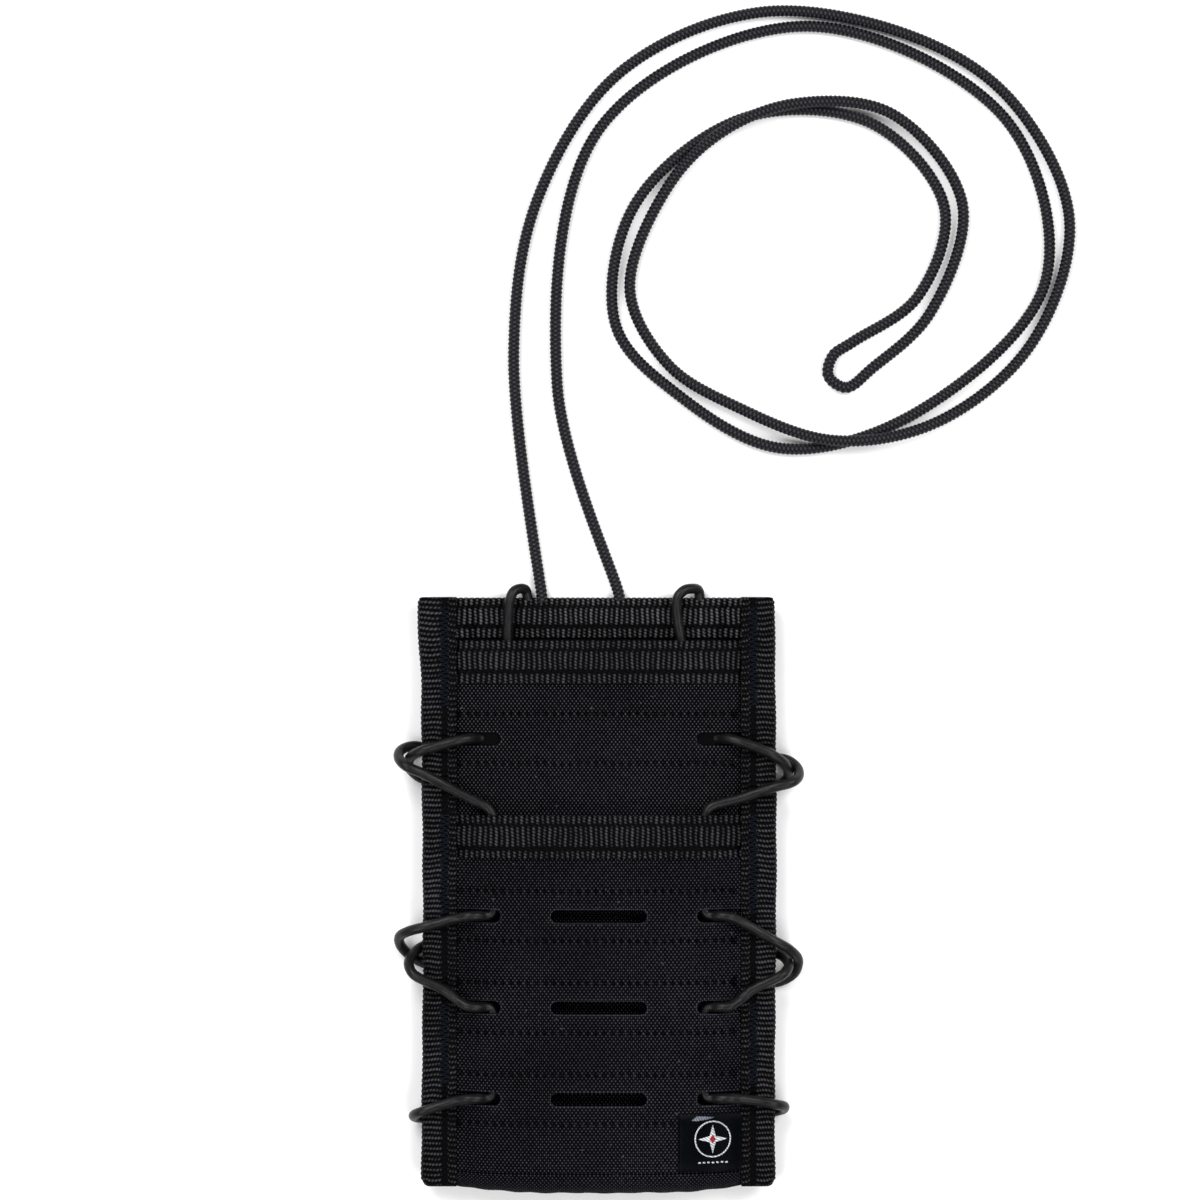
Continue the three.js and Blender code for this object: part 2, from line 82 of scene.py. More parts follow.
SIDE_LOW, SIDE_HIGH = box_mm("side_binding_right")
TOP_LOW, TOP_HIGH = box_mm("top_binding")
MAIN_LOW, MAIN_HIGH = box_mm("main_mouth_binding")
FRONT_LOW, FRONT_HIGH = box_mm("front_mouth_binding")
FOLD_LOW, FOLD_HIGH = box_mm("bottom_fold")
PAD_LOW, PAD_HIGH = box_mm("back_foam_pad")
LABEL_LOW, LABEL_HIGH = box_mm("woven_label")

HALF_WIDTH = SIDE_HIGH[0]
SEAM_INNER_X = SIDE_LOW[0]
CROWN_HALF = TOP_HIGH[0]
SEAM_ALLOWANCE_X = FOLD_HIGH[0]
TOP_Y = TOP_HIGH[1]
FOLD_START_Y = FOLD_HIGH[1]
BOTTOM_Y = FOLD_LOW[1]
BACK_FLAT_HALF = PAD_HIGH[0] + 0.5

FABRIC = 0.5
LINING = 0.3
GAP = 0.3
TAPE = 0.5
SEAM_BACK_Z = box_mm("back_outer_fabric")[1][2] - FABRIC
SEAM_LINING_Z = box_mm("back_lining")[1][2] - LINING
SEAM_MAIN_Z = box_mm("main_panel_edge_right")[0][2]
SEAM_FRONT_Z = box_mm("front_pocket_edge_right")[0][2]
MAIN_SWELL = box_mm("main_panel_fabric")[1][2] - FABRIC - SEAM_MAIN_Z
FRONT_SWELL = FOLD_HIGH[2] - FABRIC - SEAM_FRONT_Z
FRONT_MOUTH_FLARE = 0.6
BACK_LINING_Z = PAD_HIGH[2] + GAP
TOP_SQUEEZE_Y = PAD_HIGH[1] + 1

ROW_BOXES = [box_mm(f"row_{row}_reinforcement_left") for row in (1, 2, 3, 4)]
ROW_Y = [(low[1] + high[1]) / 2 for low, high in ROW_BOXES]
STRIP_HALF_HEIGHT = 4.8
STRIP_HALF_WIDTH = 36.0
SLOT_HEIGHT = 3.6
SIDE_SLOT_X = (26.0, 41.0)
MIDDLE_SLOT_HALF = 12.85
STITCH_FROM_ROW = 6.6
FOLD_CLEARANCE = 0.25

# Where the front layer is split between its side spans and its middle spans.
FREE_X = 18.0

STITCH_PITCH = 2.25
STITCH_LENGTH = 1.7
STITCH_RADIUS = 0.23
STITCH_X = np.arange(-36.8, 36.9, STITCH_PITCH)

# How far under the edge of each tape its stitching runs.
TOP_STITCH_IN = 7.8
MAIN_STITCH_IN = 8.3
FRONT_STITCH_IN = 8.8

LACE_RADIUS = 1.375
KNOT_STRAND_RADIUS = 0.95
CORD_RADIUS = 1.5
BRAID_STRANDS = 4
BRAID_PITCH = 1.15
BRAID_DEPTH = 0.34

SIDES = (("left", -1), ("right", 1))

# ---- cord routes

NECK_CORD = [
    (-15.3, 78.2, 1.5), (-22.8, 143, 1.5), (-16.5, 184, 1.5), (5.5, 218, 1.5),
    (43.5, 234.3, 1.5), (86, 227, 1.5), (111, 210, 1.5), (126, 178.5, 1.5), (115.8, 145.5, 1.5),
    (90.5, 124.5, 3.2), (63, 119.5, 4.8), (37, 128.5, 3), (18.5, 140, 1.5), (8.3, 160, 1.5),
    (18.5, 187.5, 2.2), (33, 202, 4.7), (53, 209.6, 4.7), (78.5, 206.8, 3.6), (97.3, 183, 1.5),
    (88.6, 153.6, 1.5), (73, 138.8, 1.5), (66.3, 133.8, 1.5), (61.5, 136.8, 1.5), (62.6, 142.2, 1.5),
    (68, 146, 1.5), (85.3, 158, 1.5), (92.5, 182, 1.5), (73, 204.5, 1.5), (39, 206, 1.5), (9.5, 182.5, 1.5),
    (4.5, 150.5, 1.5), (21, 132, 1.5), (49, 117.5, 1.5), (84.5, 126.8, 1.5), (119.5, 162, 1.5),
    (109, 205.5, 1.5), (55, 230.5, 1.5), (0.5, 203.5, 1.5), (-11.2, 135, 1.5), (5.3, 78.6, 1.5),
]
# The two ends go on behind the top tape.
NECK_CORD_START = (-15.1, 76.4, 1.5)
NECK_CORD_END = (5.6, 76.8, 1.5)

LACE_LEFT = [
    (-30, 40, 5.7), (-32.3, 40, 6.9), (-34.6, 40, 9.2), (-37.5, 39.5, 10.3), (-42.5, 38.1, 10.4),
    (-47, 36.8, 10.2), (-50.3, 34.9, 7.4), (-50.6, 32, 3.8), (-47.5, 29.2, 1.7), (-42.5, 28.6, 1.5),
    (-39.6, 31.5, 1.5), (-41.2, 35.6, 1.5), (-45.6, 37.2, 1.7), (-50, 37.8, 2.8), (-53, 36.6, 5.8),
    (-53.2, 34.6, 9.2), (-51.2, 32.7, 11.9), (-47, 30.8, 11.4), (-42, 28.1, 10.4), (-37, 25.4, 10.2),
    (-33, 23.4, 10.2), (-29.7, 21.7, 10.3), (-28.1, 18.9, 10.3), (-27.9, 15, 10.3), (-28, 7, 10.4),
    (-28, -1.5, 10.35), (-27.9, -4.8, 10.35), (-28.7, -6.7, 10.4), (-30.4, -7.1, 10.9),
    (-32.4, -7.1, 12.2), (-34.6, -7.2, 12.5), (-37.5, -7.8, 11.3), (-42, -8.9, 10.5), (-47, -10.3, 10.2),
    (-50.8, -11.4, 8.6), (-53.2, -13, 5.6), (-53, -15.5, 2.9), (-50.6, -18.2, 1.5), (-46.5, -20.4, 1.5),
    (-42, -20.6, 1.5), (-39.7, -18.2, 1.5), (-41.3, -15.6, 1.5), (-45.6, -15.3, 1.8), (-49, -17, 4.2),
    (-50.7, -19.9, 7.5), (-49.5, -22.6, 9.9), (-46, -24.6, 10.5), (-41, -27, 10.6), (-37.5, -29.6, 11.3),
    (-34.6, -31.2, 12.5), (-32.4, -31.4, 12.2), (-30.4, -31.4, 10.9), (-28.7, -31.8, 10.4),
    (-27.9, -33.8, 10.35), (-28, -37, 10.35), (-28, -43, 10.35), (-28, -50, 10.35),
    (-27.9, -53.3, 10.35), (-28.7, -55.3, 10.4), (-30.4, -55.7, 10.9), (-32.4, -55.7, 12.2),
    (-34.6, -55.8, 12.5), (-37.5, -56.3, 11.3), (-42, -57.6, 10.5), (-47, -59.3, 10.1),
    (-49.2, -60.4, 7.4), (-49.1, -61.3, 3.8), (-47, -61.8, 1.7), (-44.3, -62, 1.6),
]
LACE_RIGHT = [
    (30, 40, 5.7), (32.3, 40, 6.9), (34.6, 39.9, 9.2), (37.5, 39.2, 10.3), (42, 37.6, 10.4),
    (46, 35.8, 10.3), (49.8, 32.8, 7.8), (50.5, 29.6, 4), (47.4, 27, 1.7), (42.5, 26.2, 1.5),
    (39.6, 29, 1.5), (41.2, 33, 1.5), (45.6, 34.4, 1.7), (50, 34.2, 2.7), (52.9, 32.2, 4.9),
    (53.2, 29.9, 8.2), (51.4, 28.4, 10.8), (47, 27.2, 11.3), (42, 25.6, 10.4), (37, 23.9, 10.2),
    (33, 22.9, 10.2), (29.7, 21.7, 10.3), (28.1, 18.9, 10.3), (27.9, 15, 10.3), (28, 7, 10.4),
    (28, -1.5, 10.35), (27.9, -4.8, 10.35), (28.7, -6.7, 10.4), (30.4, -7.1, 10.9), (32.4, -7.1, 12.2),
    (34.6, -7.3, 12.5), (37.8, -8.7, 11.3), (42.5, -11.4, 10.5),
    (47, -14, 10.3), (50.8, -16.3, 8.6), (53.2, -19.2, 5.4), (52.2, -22.9, 2.7), (48.5, -25.2, 1.5),
    (43, -25.4, 1.5), (39.7, -22.4, 1.5), (41, -18.6, 1.5), (45.4, -17.4, 1.8), (49.1, -18.3, 3.9),
    (50.6, -20.5, 7.4), (49.1, -22.7, 10), (46, -24.3, 10.5), (41, -26.7, 10.6), (37.5, -29.4, 11.3),
    (34.6, -31.2, 12.5), (32.4, -31.4, 12.2), (30.4, -31.4, 10.9), (28.7, -31.8, 10.4),
    (27.9, -33.8, 10.35), (28, -37, 10.35), (28, -43, 10.35), (28, -50, 10.35), (27.9, -53.3, 10.35),
    (28.7, -55.3, 10.4), (30.4, -55.7, 10.9), (32.4, -55.7, 12.2), (34.6, -55.6, 12.5),
    (37.5, -55.8, 11.3), (42.5, -56.5, 10.5), (47, -57.4, 10.1), (49.3, -58.1, 7.5), (49.2, -59.2, 3.9),
    (47, -60, 1.7), (44.3, -60.4, 1.6),
]
LOOP_LEFT = [
    (-19, 77.2, 1.5), (-19.6, 79.5, 2.5), (-20.9, 79.93, 3.8), (-22.7, 79.2, 5.1), (-23.8, 76.6, 5.6),
    (-24.2, 72, 5.6), (-24.4, 66, 5.6), (-24.4, 61, 5.6), (-24.4, 56.5, 5.6),
]
LOOP_RIGHT = [
    (27.1, 77.2, 1.5), (26.6, 79.5, 2.5), (25.2, 79.93, 3.8), (22.8, 79.5, 5.1), (21, 77.4, 5.6),
    (20.9, 73, 5.6), (21.8, 67, 5.6), (22.2, 61.5, 5.6), (22.2, 56.5, 5.6),
]


# ---- heights of the layers

def smooth(t):
    t = np.clip(t, 0, 1)
    return t * t * (3 - 2 * t)


def lerp(a, b, t):
    return a + (b - a) * t


def crown(x):
    """1 in the middle of a front panel, 0 at its sewn sides."""
    return 1 - np.minimum(1, np.abs(x) / CROWN_HALF) ** 4


def margin(x):
    """0 on the flat of the back, 1 on its raised margins."""
    return smooth((np.abs(x) - BACK_FLAT_HALF) / (CROWN_HALF - BACK_FLAT_HALF))


def squeeze(y):
    """0 over the foam, 1 where the top edge is pressed flat inside its tape."""
    return smooth((y - TOP_SQUEEZE_Y) / 4)


def ripple(x, y, size):
    """Slow unevenness of cloth that has been handled."""
    return size * (
        0.5 * np.sin(0.11 * x + 0.07 * y + 0.6) + 0.3 * np.sin(0.05 * x - 0.16 * y + 2.1)
        + 0.2 * np.sin(0.23 * x + 0.19 * y + 4.0)
    )


def back_z(x, y):
    return SEAM_BACK_Z * margin(x) + (FABRIC + GAP) * squeeze(y) * (1 - margin(x))


def back_lining_z(x, y):
    middle = lerp(BACK_LINING_Z, 2 * FABRIC + 2 * GAP, squeeze(y))
    return lerp(middle, SEAM_LINING_Z, margin(x))


def main_z(x):
    return SEAM_MAIN_Z + MAIN_SWELL * crown(x)


def front_z(x, y):
    flare = FRONT_MOUTH_FLARE * smooth((y + 5) / 20)
    return SEAM_FRONT_Z + (FRONT_SWELL + flare) * crown(x)


# ---- mesh building

def running_length(line):
    """How far along a line of points each of them lies."""
    return np.concatenate([[0], np.cumsum(np.linalg.norm(np.diff(line, axis=0), axis=1))])


def make_mesh(name, points, faces, material, uv=None, relief=None, sharp=40):
    """A mesh object from points in millimetres. uv is one (u, v) in millimetres for each face corner."""
    mesh = bpy.data.meshes.new(name)
    mesh.from_pydata((np.asarray(points) * MM).tolist(), [], faces)
    if uv is not None:
        layer = mesh.uv_layers.new(name="cloth")
        layer.data.foreach_set("uv", np.asarray(uv, np.float32).ravel())
    if relief is not None:
        layer = mesh.attributes.new("relief", "FLOAT", "POINT")
        layer.data.foreach_set("value", np.asarray(relief, np.float32).ravel())
    mesh.shade_smooth()
    mesh.set_sharp_from_angle(angle=math.radians(sharp))
    mesh.materials.append(material)
    obj = bpy.data.objects.new(name, mesh)
    bpy.context.scene.collection.objects.link(obj)
    return obj


def loft(name, rings, material, u, v, relief=None):
    """A closed skin over rings of points, capped at both ends. Each ring turns clockwise seen from the
    start. u is each ring's place along the loft, and v has one more value than a ring has points."""
    rings = np.asarray(rings, float)
    count, size = rings.shape[:2]
    i, j = np.meshgrid(np.arange(count - 1), np.arange(size), indexing="ij")
    i, j = i.ravel(), j.ravel()
    k = (j + 1) % size
    quads = np.stack([i * size + j, i * size + k, (i + 1) * size + k, (i + 1) * size + j], 1)
    corners = np.stack([
        np.stack([u[i], v[j]], 1), np.stack([u[i], v[j + 1]], 1),
        np.stack([u[i + 1], v[j + 1]], 1), np.stack([u[i + 1], v[j]], 1),
    ], 1)
    caps = [list(range(size))[::-1], [(count - 1) * size + n for n in range(size)]]
    cap_uv = [[(0.0, 0.0)] * size] * 2
    uv = np.concatenate([corners.reshape(-1, 2), np.array(cap_uv).reshape(-1, 2)])
    obj = make_mesh(name, rings.reshape(-1, 3), quads.tolist() + caps, material, uv, relief)
    face_outwards(obj)
    return obj


def face_outwards(obj):
    work = bmesh.new()
    work.from_mesh(obj.data)
    bmesh.ops.recalc_face_normals(work, faces=work.faces)
    work.to_mesh(obj.data)
    work.free()


SLOT_END_POINTS = 9
SLOT_SPACING = 1.6


def stadium(x0, x1, y, grow=0.0):
    """The outline of a slot with round ends, grown outwards by grow."""
    radius = SLOT_HEIGHT / 2
    reach = radius + grow
    straight = np.linspace(0, 1, max(2, int((x1 - x0) / SLOT_SPACING)))[1:-1]
    outline = []
    for side, start, end in ((1, x1 - radius, x0 + radius), (-1, x0 + radius, x1 - radius)):
        first = -side * math.pi / 2
        turn = np.linspace(first, first + math.pi, SLOT_END_POINTS)
        outline += [(start + reach * math.cos(a), y + reach * math.sin(a)) for a in turn]
        outline += [(lerp(start, end, t), y + side * reach) for t in straight]
    return outline


def slot_distance(x, y, slots):
    """How far each point is outside the nearest slot."""
    nearest = np.full(np.shape(x), 99.0)
    radius = SLOT_HEIGHT / 2
    for x0, x1, row in slots:
        along = np.maximum(np.abs(x - (x0 + x1) / 2) - ((x1 - x0) / 2 - radius), 0)
        nearest = np.minimum(nearest, np.hypot(along, y - row) - radius)
    return nearest


def side_slots(row):
    inner, outer = SIDE_SLOT_X
    return [(-outer, -inner, row), (inner, outer, row)]


def all_slots(row):
    return side_slots(row) + [(-MIDDLE_SLOT_HALF, MIDDLE_SLOT_HALF, row)]


# Rows of points beside a stitch line, rings of points round a slot, and the room left free round those.
CREASE_ROWS = (-0.9, -0.45, 0, 0.45, 0.9)
SLOT_RINGS = (0.28, 0.7)
SLOT_ROOM = 1.1
EDGE_ROOM = 0.2


def cloth_points(x_range, y_range, slots, y_lines, spacing):
    """The points of a flat sheet, closer along its stitch lines, and the edges of its rim and slots."""
    x0, x1 = x_range
    y0, y1 = y_range
    xs = np.linspace(x0, x1, max(2, round((x1 - x0) / spacing) + 1))
    ys = np.linspace(y0, y1, max(2, round((y1 - y0) / spacing) + 1))
    extra = [y + d for y in y_lines for d in CREASE_ROWS if y0 < y + d < y1]
    if extra:
        ys = [y for y in ys if min(abs(y - e) for e in extra) > 0.3 or y in (y0, y1)]
    ys = np.sort(np.array([*ys, *extra]))
    points = [(x, y0) for x in xs] + [(x1, y) for y in ys[1:]]
    points += [(x, y1) for x in xs[::-1][1:]] + [(x0, y) for y in ys[::-1][1:-1]]
    edges = closed_loop(0, len(points))
    for slot in slots:
        outline = stadium(*slot)
        edges += closed_loop(len(points), len(outline))
        points += outline
        for grow in SLOT_RINGS:
            points += [p for p in stadium(*slot, grow=grow) if x0 + EDGE_ROOM < p[0] < x1 - EDGE_ROOM]
    fine_xs = np.arange(STITCH_X[0], STITCH_X[-1] + 0.1, STITCH_PITCH / 4)
    fine_xs = fine_xs[(fine_xs > x0 + EDGE_ROOM) & (fine_xs < x1 - EDGE_ROOM)]
    rows = [np.meshgrid(fine_xs if y in extra else xs[1:-1], [y]) for y in ys[1:-1]]
    gx, gy = (np.concatenate([row[k].ravel() for row in rows]) for k in (0, 1))
    free = slot_distance(gx, gy, slots) > SLOT_ROOM
    return points + list(zip(gx[free], gy[free])), edges


def closed_loop(start, count):
    return [(start + n, start + (n + 1) % count) for n in range(count)]


def cloth_faces(points, edges, x_range, y_range, slots):
    """The triangles of a flat sheet and their points, with nothing in its slots."""
    flat, _, faces, _, _, _ = delaunay_2d_cdt([Vector(p) for p in points], edges, [], 0, 1e-4)
    flat = np.array([tuple(p) for p in flat])
    faces = np.array(faces)
    x, y = flat[faces].mean(1).T
    inside = (x > x_range[0]) & (x < x_range[1]) & (y > y_range[0]) & (y < y_range[1])
    faces = faces[inside & (slot_distance(x, y, slots) > 0)]
    used = np.unique(faces)
    return flat[used], np.searchsorted(used, faces)


def cloth_painted_light(x, y, slots, y_lines):
    """Painted highlight on the cut edges of the slots. Along each stitch line, painted shade in the dent at
    each stitch and painted highlight on the puckers between stitches.
    """
    relief = 0.5 * np.exp(-slot_distance(x, y, slots) / 0.3)
    for crease in y_lines:
        depth = 0.3 + 0.7 * np.cos(2 * math.pi * (x - STITCH_X[0]) / STITCH_PITCH)
        relief = relief - depth * np.exp(-((y - crease) / 0.42) ** 2)
    return relief


def cloth(name, x_range, y_range, top, thickness, material, slots=(), y_lines=(), spacing=1.7):
    """A closed sheet of cloth over a rectangle, its upper face at top(x, y), with its slots cut through.
    y_lines are the stitch lines, where it creases."""
    points, edges = cloth_points(x_range, y_range, slots, y_lines, spacing)
    flat, faces = cloth_faces(points, edges, x_range, y_range, slots)
    height = top(flat[:, 0], flat[:, 1])
    points = np.concatenate([np.column_stack([flat, height]), np.column_stack([flat, height - thickness])])
    count = len(flat)
    sides = np.concatenate([faces[:, [0, 1]], faces[:, [1, 2]], faces[:, [2, 0]]])
    seen = {tuple(e) for e in sides.tolist()}
    rim = [(a, b) for a, b in seen if (b, a) not in seen]
    walls = [[b, a, a + count, b + count] for a, b in rim]
    all_faces = faces.tolist() + (faces[:, ::-1] + count).tolist() + walls
    uv = points[[n for face in all_faces for n in face], :2]
    # The relief attribute holds painted highlight at the slot edges and painted shade in the stitch dents;
    # the cloth materials turn it into colour.
    relief = cloth_painted_light(flat[:, 0], flat[:, 1], slots, y_lines)
    return make_mesh(name, points, all_faces, material, uv, np.concatenate([relief] * 2))


# ---- cords

def route(points, step, floor):
    """Points a step apart along a centripetal Catmull-Rom curve, never below the floor."""
    p = np.array(points, float)
    p = np.vstack([2 * p[0] - p[1], p, 2 * p[-1] - p[-2]])
    fine = []
    for p0, p1, p2, p3 in zip(p, p[1:], p[2:], p[3:]):
        d0, d1, d2 = (np.linalg.norm(b - a) ** 0.5 for a, b in ((p0, p1), (p1, p2), (p2, p3)))
        m1 = ((p1 - p0) / d0 - (p2 - p0) / (d0 + d1) + (p2 - p1) / d1) * d1
        m2 = ((p2 - p1) / d1 - (p3 - p1) / (d1 + d2) + (p3 - p2) / d2) * d1
        t = np.linspace(0, 1, 40, endpoint=False)[:, None]
        fine.append(
            p1 + m1 * t + (3 * (p2 - p1) - 2 * m1 - m2) * t ** 2 + (2 * (p1 - p2) + m1 + m2) * t ** 3
        )
    fine = np.vstack([*fine, p[-2]])
    fine[:, 2] = np.maximum(fine[:, 2], floor)
    along = running_length(fine)
    places = np.linspace(0, along[-1], max(3, round(along[-1] / step) + 1))
    return np.column_stack([np.interp(places, along, fine[:, k]) for k in range(3)]), places


def cord_frames(path):
    """Two directions across the path at each point, turning as little as they can."""
    tangent = np.gradient(path, axis=0)
    tangent /= np.linalg.norm(tangent, axis=1)[:, None]
    across = np.cross(tangent[0], (0, 0, 1))
    normals = []
    for t in tangent:
        across = across - (across @ t) * t
        across /= np.linalg.norm(across)
        normals.append(across)
    normals = np.array(normals)
    return normals, np.cross(tangent, normals)


def cord(name, path, places, radius, material, sides, surface=None):
    """A round cord along a path, its surface raised by surface(place, angle)."""
    normal, binormal = cord_frames(path)
    angle = np.linspace(0, 2 * math.pi, sides, endpoint=False)
    raised = np.zeros((len(path), sides)) if surface is None else surface(places[:, None], angle[None, :])
    reach = (radius + raised)[:, :, None]
    cosine, sine = np.cos(angle)[None, :, None], np.sin(angle)[None, :, None]
    rings = path[:, None] + reach * (normal[:, None] * cosine + binormal[:, None] * sine)
    v = np.linspace(0, 2 * math.pi * radius, sides + 1)
    return loft(name, rings, material, places, v, relief=raised)


def braid(strands, pitch, depth):
    """The surface of a diamond braid: over-and-under strands that wind both ways."""
    def surface(place, angle):
        a = angle * strands / (2 * math.pi) + place / pitch
        b = angle * strands / (2 * math.pi) - place / pitch
        over = (np.floor(a) + np.floor(b)) % 2 < 1
        across = np.where(over, a % 1, b % 1)
        along = np.where(over, b % 1, a % 1)
        bead = np.sin(math.pi * across) ** 0.7 * np.sin(math.pi * along) ** 0.5
        return depth * (bead - 0.6)
    return surface


# ---- folded tapes

FOLD_POINTS = 7


def tape_path(outer, inner, depth, low, high, leaf):
    """The section of a tape folded over an edge: across it, its z at each station, and its normal's two
    parts. leaf has the shares of the front leaf, from its inner edge to the fold, where points go."""
    sign = math.copysign(1, outer)
    start = outer - sign * depth
    turn = np.linspace(math.pi / 2, -math.pi / 2, FOLD_POINTS)[1:-1]
    front = inner + (start - inner) * np.asarray(leaf)
    back = inner + (start - inner) * np.linspace(1, 0, 9)
    middle, half = (low + high) / 2, (high - low) / 2
    across = np.concatenate([front, start + sign * depth * np.cos(turn), back])
    rise = np.concatenate([np.ones(len(front)), np.sin(turn), -np.ones(len(back))])
    lean = np.concatenate([np.zeros(len(front)), np.cos(turn), np.zeros(len(back))])
    z = middle[:, None] + half[:, None] * rise[None, :]
    return across, z, sign * lean, rise


def folded_tape(name, stations, along_x, outer, inner, depth, low, high, leaf, raise_by, material):
    """A closed tape folded over an edge, its outer face raised by raise_by(station, across)."""
    across, z, lean, rise = tape_path(outer, inner, depth, low, high, leaf)
    raised = raise_by(stations[:, None], across[None, :])
    outer_across = across[None, :] + raised * lean[None, :]
    outer_z = z + raised * rise[None, :]
    keep = np.unique(np.linspace(0, len(across) - 1, 16).round().astype(int))[::-1]
    inner_across = np.broadcast_to(across[keep] - TAPE * lean[keep], (len(stations), len(keep)))
    inner_z = z[:, keep] - TAPE * rise[keep]
    ring_across = np.concatenate([outer_across, inner_across], 1)
    ring_z = np.concatenate([outer_z, inner_z], 1)
    place = np.broadcast_to(stations[:, None], ring_z.shape)
    order = (place, ring_across) if along_x else (ring_across, place)
    rings = np.stack([*order, ring_z], 2)
    distance = np.concatenate([[0], np.cumsum(np.hypot(np.diff(ring_across[0]), np.diff(ring_z[0])))])
    # The inner faces get a low relief, which the tape materials turn into painted shade inside the fold.
    relief = np.concatenate([raised, np.full(inner_z.shape, -0.2)], 1)
    return loft(name, rings, material, stations, np.append(distance, distance[-1] + TAPE), relief)


def rib(phase):
    """A rounded rib for each whole step of the phase."""
    uneven = 0.94 + 0.06 * np.sin(2.4 * np.floor(phase))
    return uneven * np.abs(np.sin(math.pi * phase)) ** 0.75


CROSS_RIB = 1.4
SIDE_RIB = 1.37
BEAD = 0.86
GROOVE_INSET = 3.1


def cross_tape_relief(edge_y, stitch_y, lean):
    """Ribs that run up the tape, pinched under its stitch line and along its rolled edge."""
    def relief(x, y):
        below = smooth((stitch_y - y) / 0.8 + 0.5)
        rolled = smooth((y - edge_y + 2.6) / 0.8 + 0.5)
        phase = x / CROSS_RIB + 0.4 * below * lean - 0.35 * rolled * lean
        phase = phase + 0.06 * np.sin(0.9 * y + 0.3 * x) + 0.2 * np.sin(0.11 * x)
        pinch = np.exp(-((y - stitch_y) / 0.45) ** 2)
        tuck = np.exp(-((y - edge_y + 2.5) / 0.4) ** 2)
        return 0.25 * rib(phase) * (1 - 0.4 * pinch - 0.25 * tuck) - 0.25 - 0.07 * pinch - 0.03 * tuck
    return relief


def side_tape_relief(side):
    """Beaded ribs that run across the tape, a stitched groove, and a ladder of loops on its inner edge."""
    def relief(y, x):
        inset = side * x - SEAM_INNER_X
        groove = np.exp(-((inset - GROOVE_INSET) / 0.62) ** 2)
        ladder = smooth((2.2 - inset) / 0.4)
        phase = y / SIDE_RIB + 0.3 * np.sin(0.05 * y) + 0.4 * ladder
        phase = phase + (0.1 + 0.06 * np.sin(0.21 * y)) * np.sin(0.9 * inset + 0.13 * y)
        return 0.28 * rib(phase) * (1 - 0.4 * groove - 0.1 * ladder) - 0.28 - 0.1 * groove
    return relief


# ---- thread

def threads(name, centres, directions, lengths, radius, droop, material):
    """One small closed stitch at each centre. lengths is one number, or one for each stitch."""
    t = np.array([-1, -0.92, -0.6, 0, 0.6, 0.92, 1])
    girth = np.array([0.25, 0.7, 1, 1, 1, 0.7, 0.25])
    angle = np.linspace(0, 2 * math.pi, 6, endpoint=False)
    up = np.array([0, 0, 1.0])
    points, faces, uv = [], [], []
    for centre, direction, length in zip(centres, directions, np.broadcast_to(lengths, len(centres))):
        direction = np.asarray(direction, float) / np.linalg.norm(direction)
        across = np.cross(direction, up)
        start = len(points)
        for s, g in zip(t, girth):
            middle = centre + direction * s * length / 2 - up * droop * s * s
            points += [middle + radius * g * (across * math.cos(a) + up * math.sin(a)) for a in angle]
        size = len(angle)
        for i in range(len(t) - 1):
            for j in range(size):
                k = (j + 1) % size
                faces.append([start + i * size + j, start + (i + 1) * size + j,
                              start + (i + 1) * size + k, start + i * size + k])
                uv += [(t[i], j), (t[i + 1], j), (t[i + 1], j + 1), (t[i], j + 1)]
        for ring, order in ((0, 1), (len(t) - 1, -1)):
            faces.append([start + ring * size + j for j in range(size)][::order])
            uv += [(0, 0)] * size
    return make_mesh(name, points, faces, material, uv)


def stitch_row(name, xs, y, height, material, length=STITCH_LENGTH):
    """A row of stitches along X, lying on height(x, y)."""
    centres = [np.array([x, y + 0.05 * math.sin(7 * x), float(height(x, y))]) for x in xs]
    directions = [(1, 0.06 * math.sin(5 * x), 0) for x in xs]
    return threads(name, centres, directions, length, STITCH_RADIUS, 0.15, material)


def join(name, parts):
    """One object from several meshes."""
    with bpy.context.temp_override(active_object=parts[0], selected_editable_objects=parts, object=parts[0]):
        bpy.ops.object.join()
    parts[0].name = name
    parts[0].data.name = name
    return parts[0]


# ---- materials

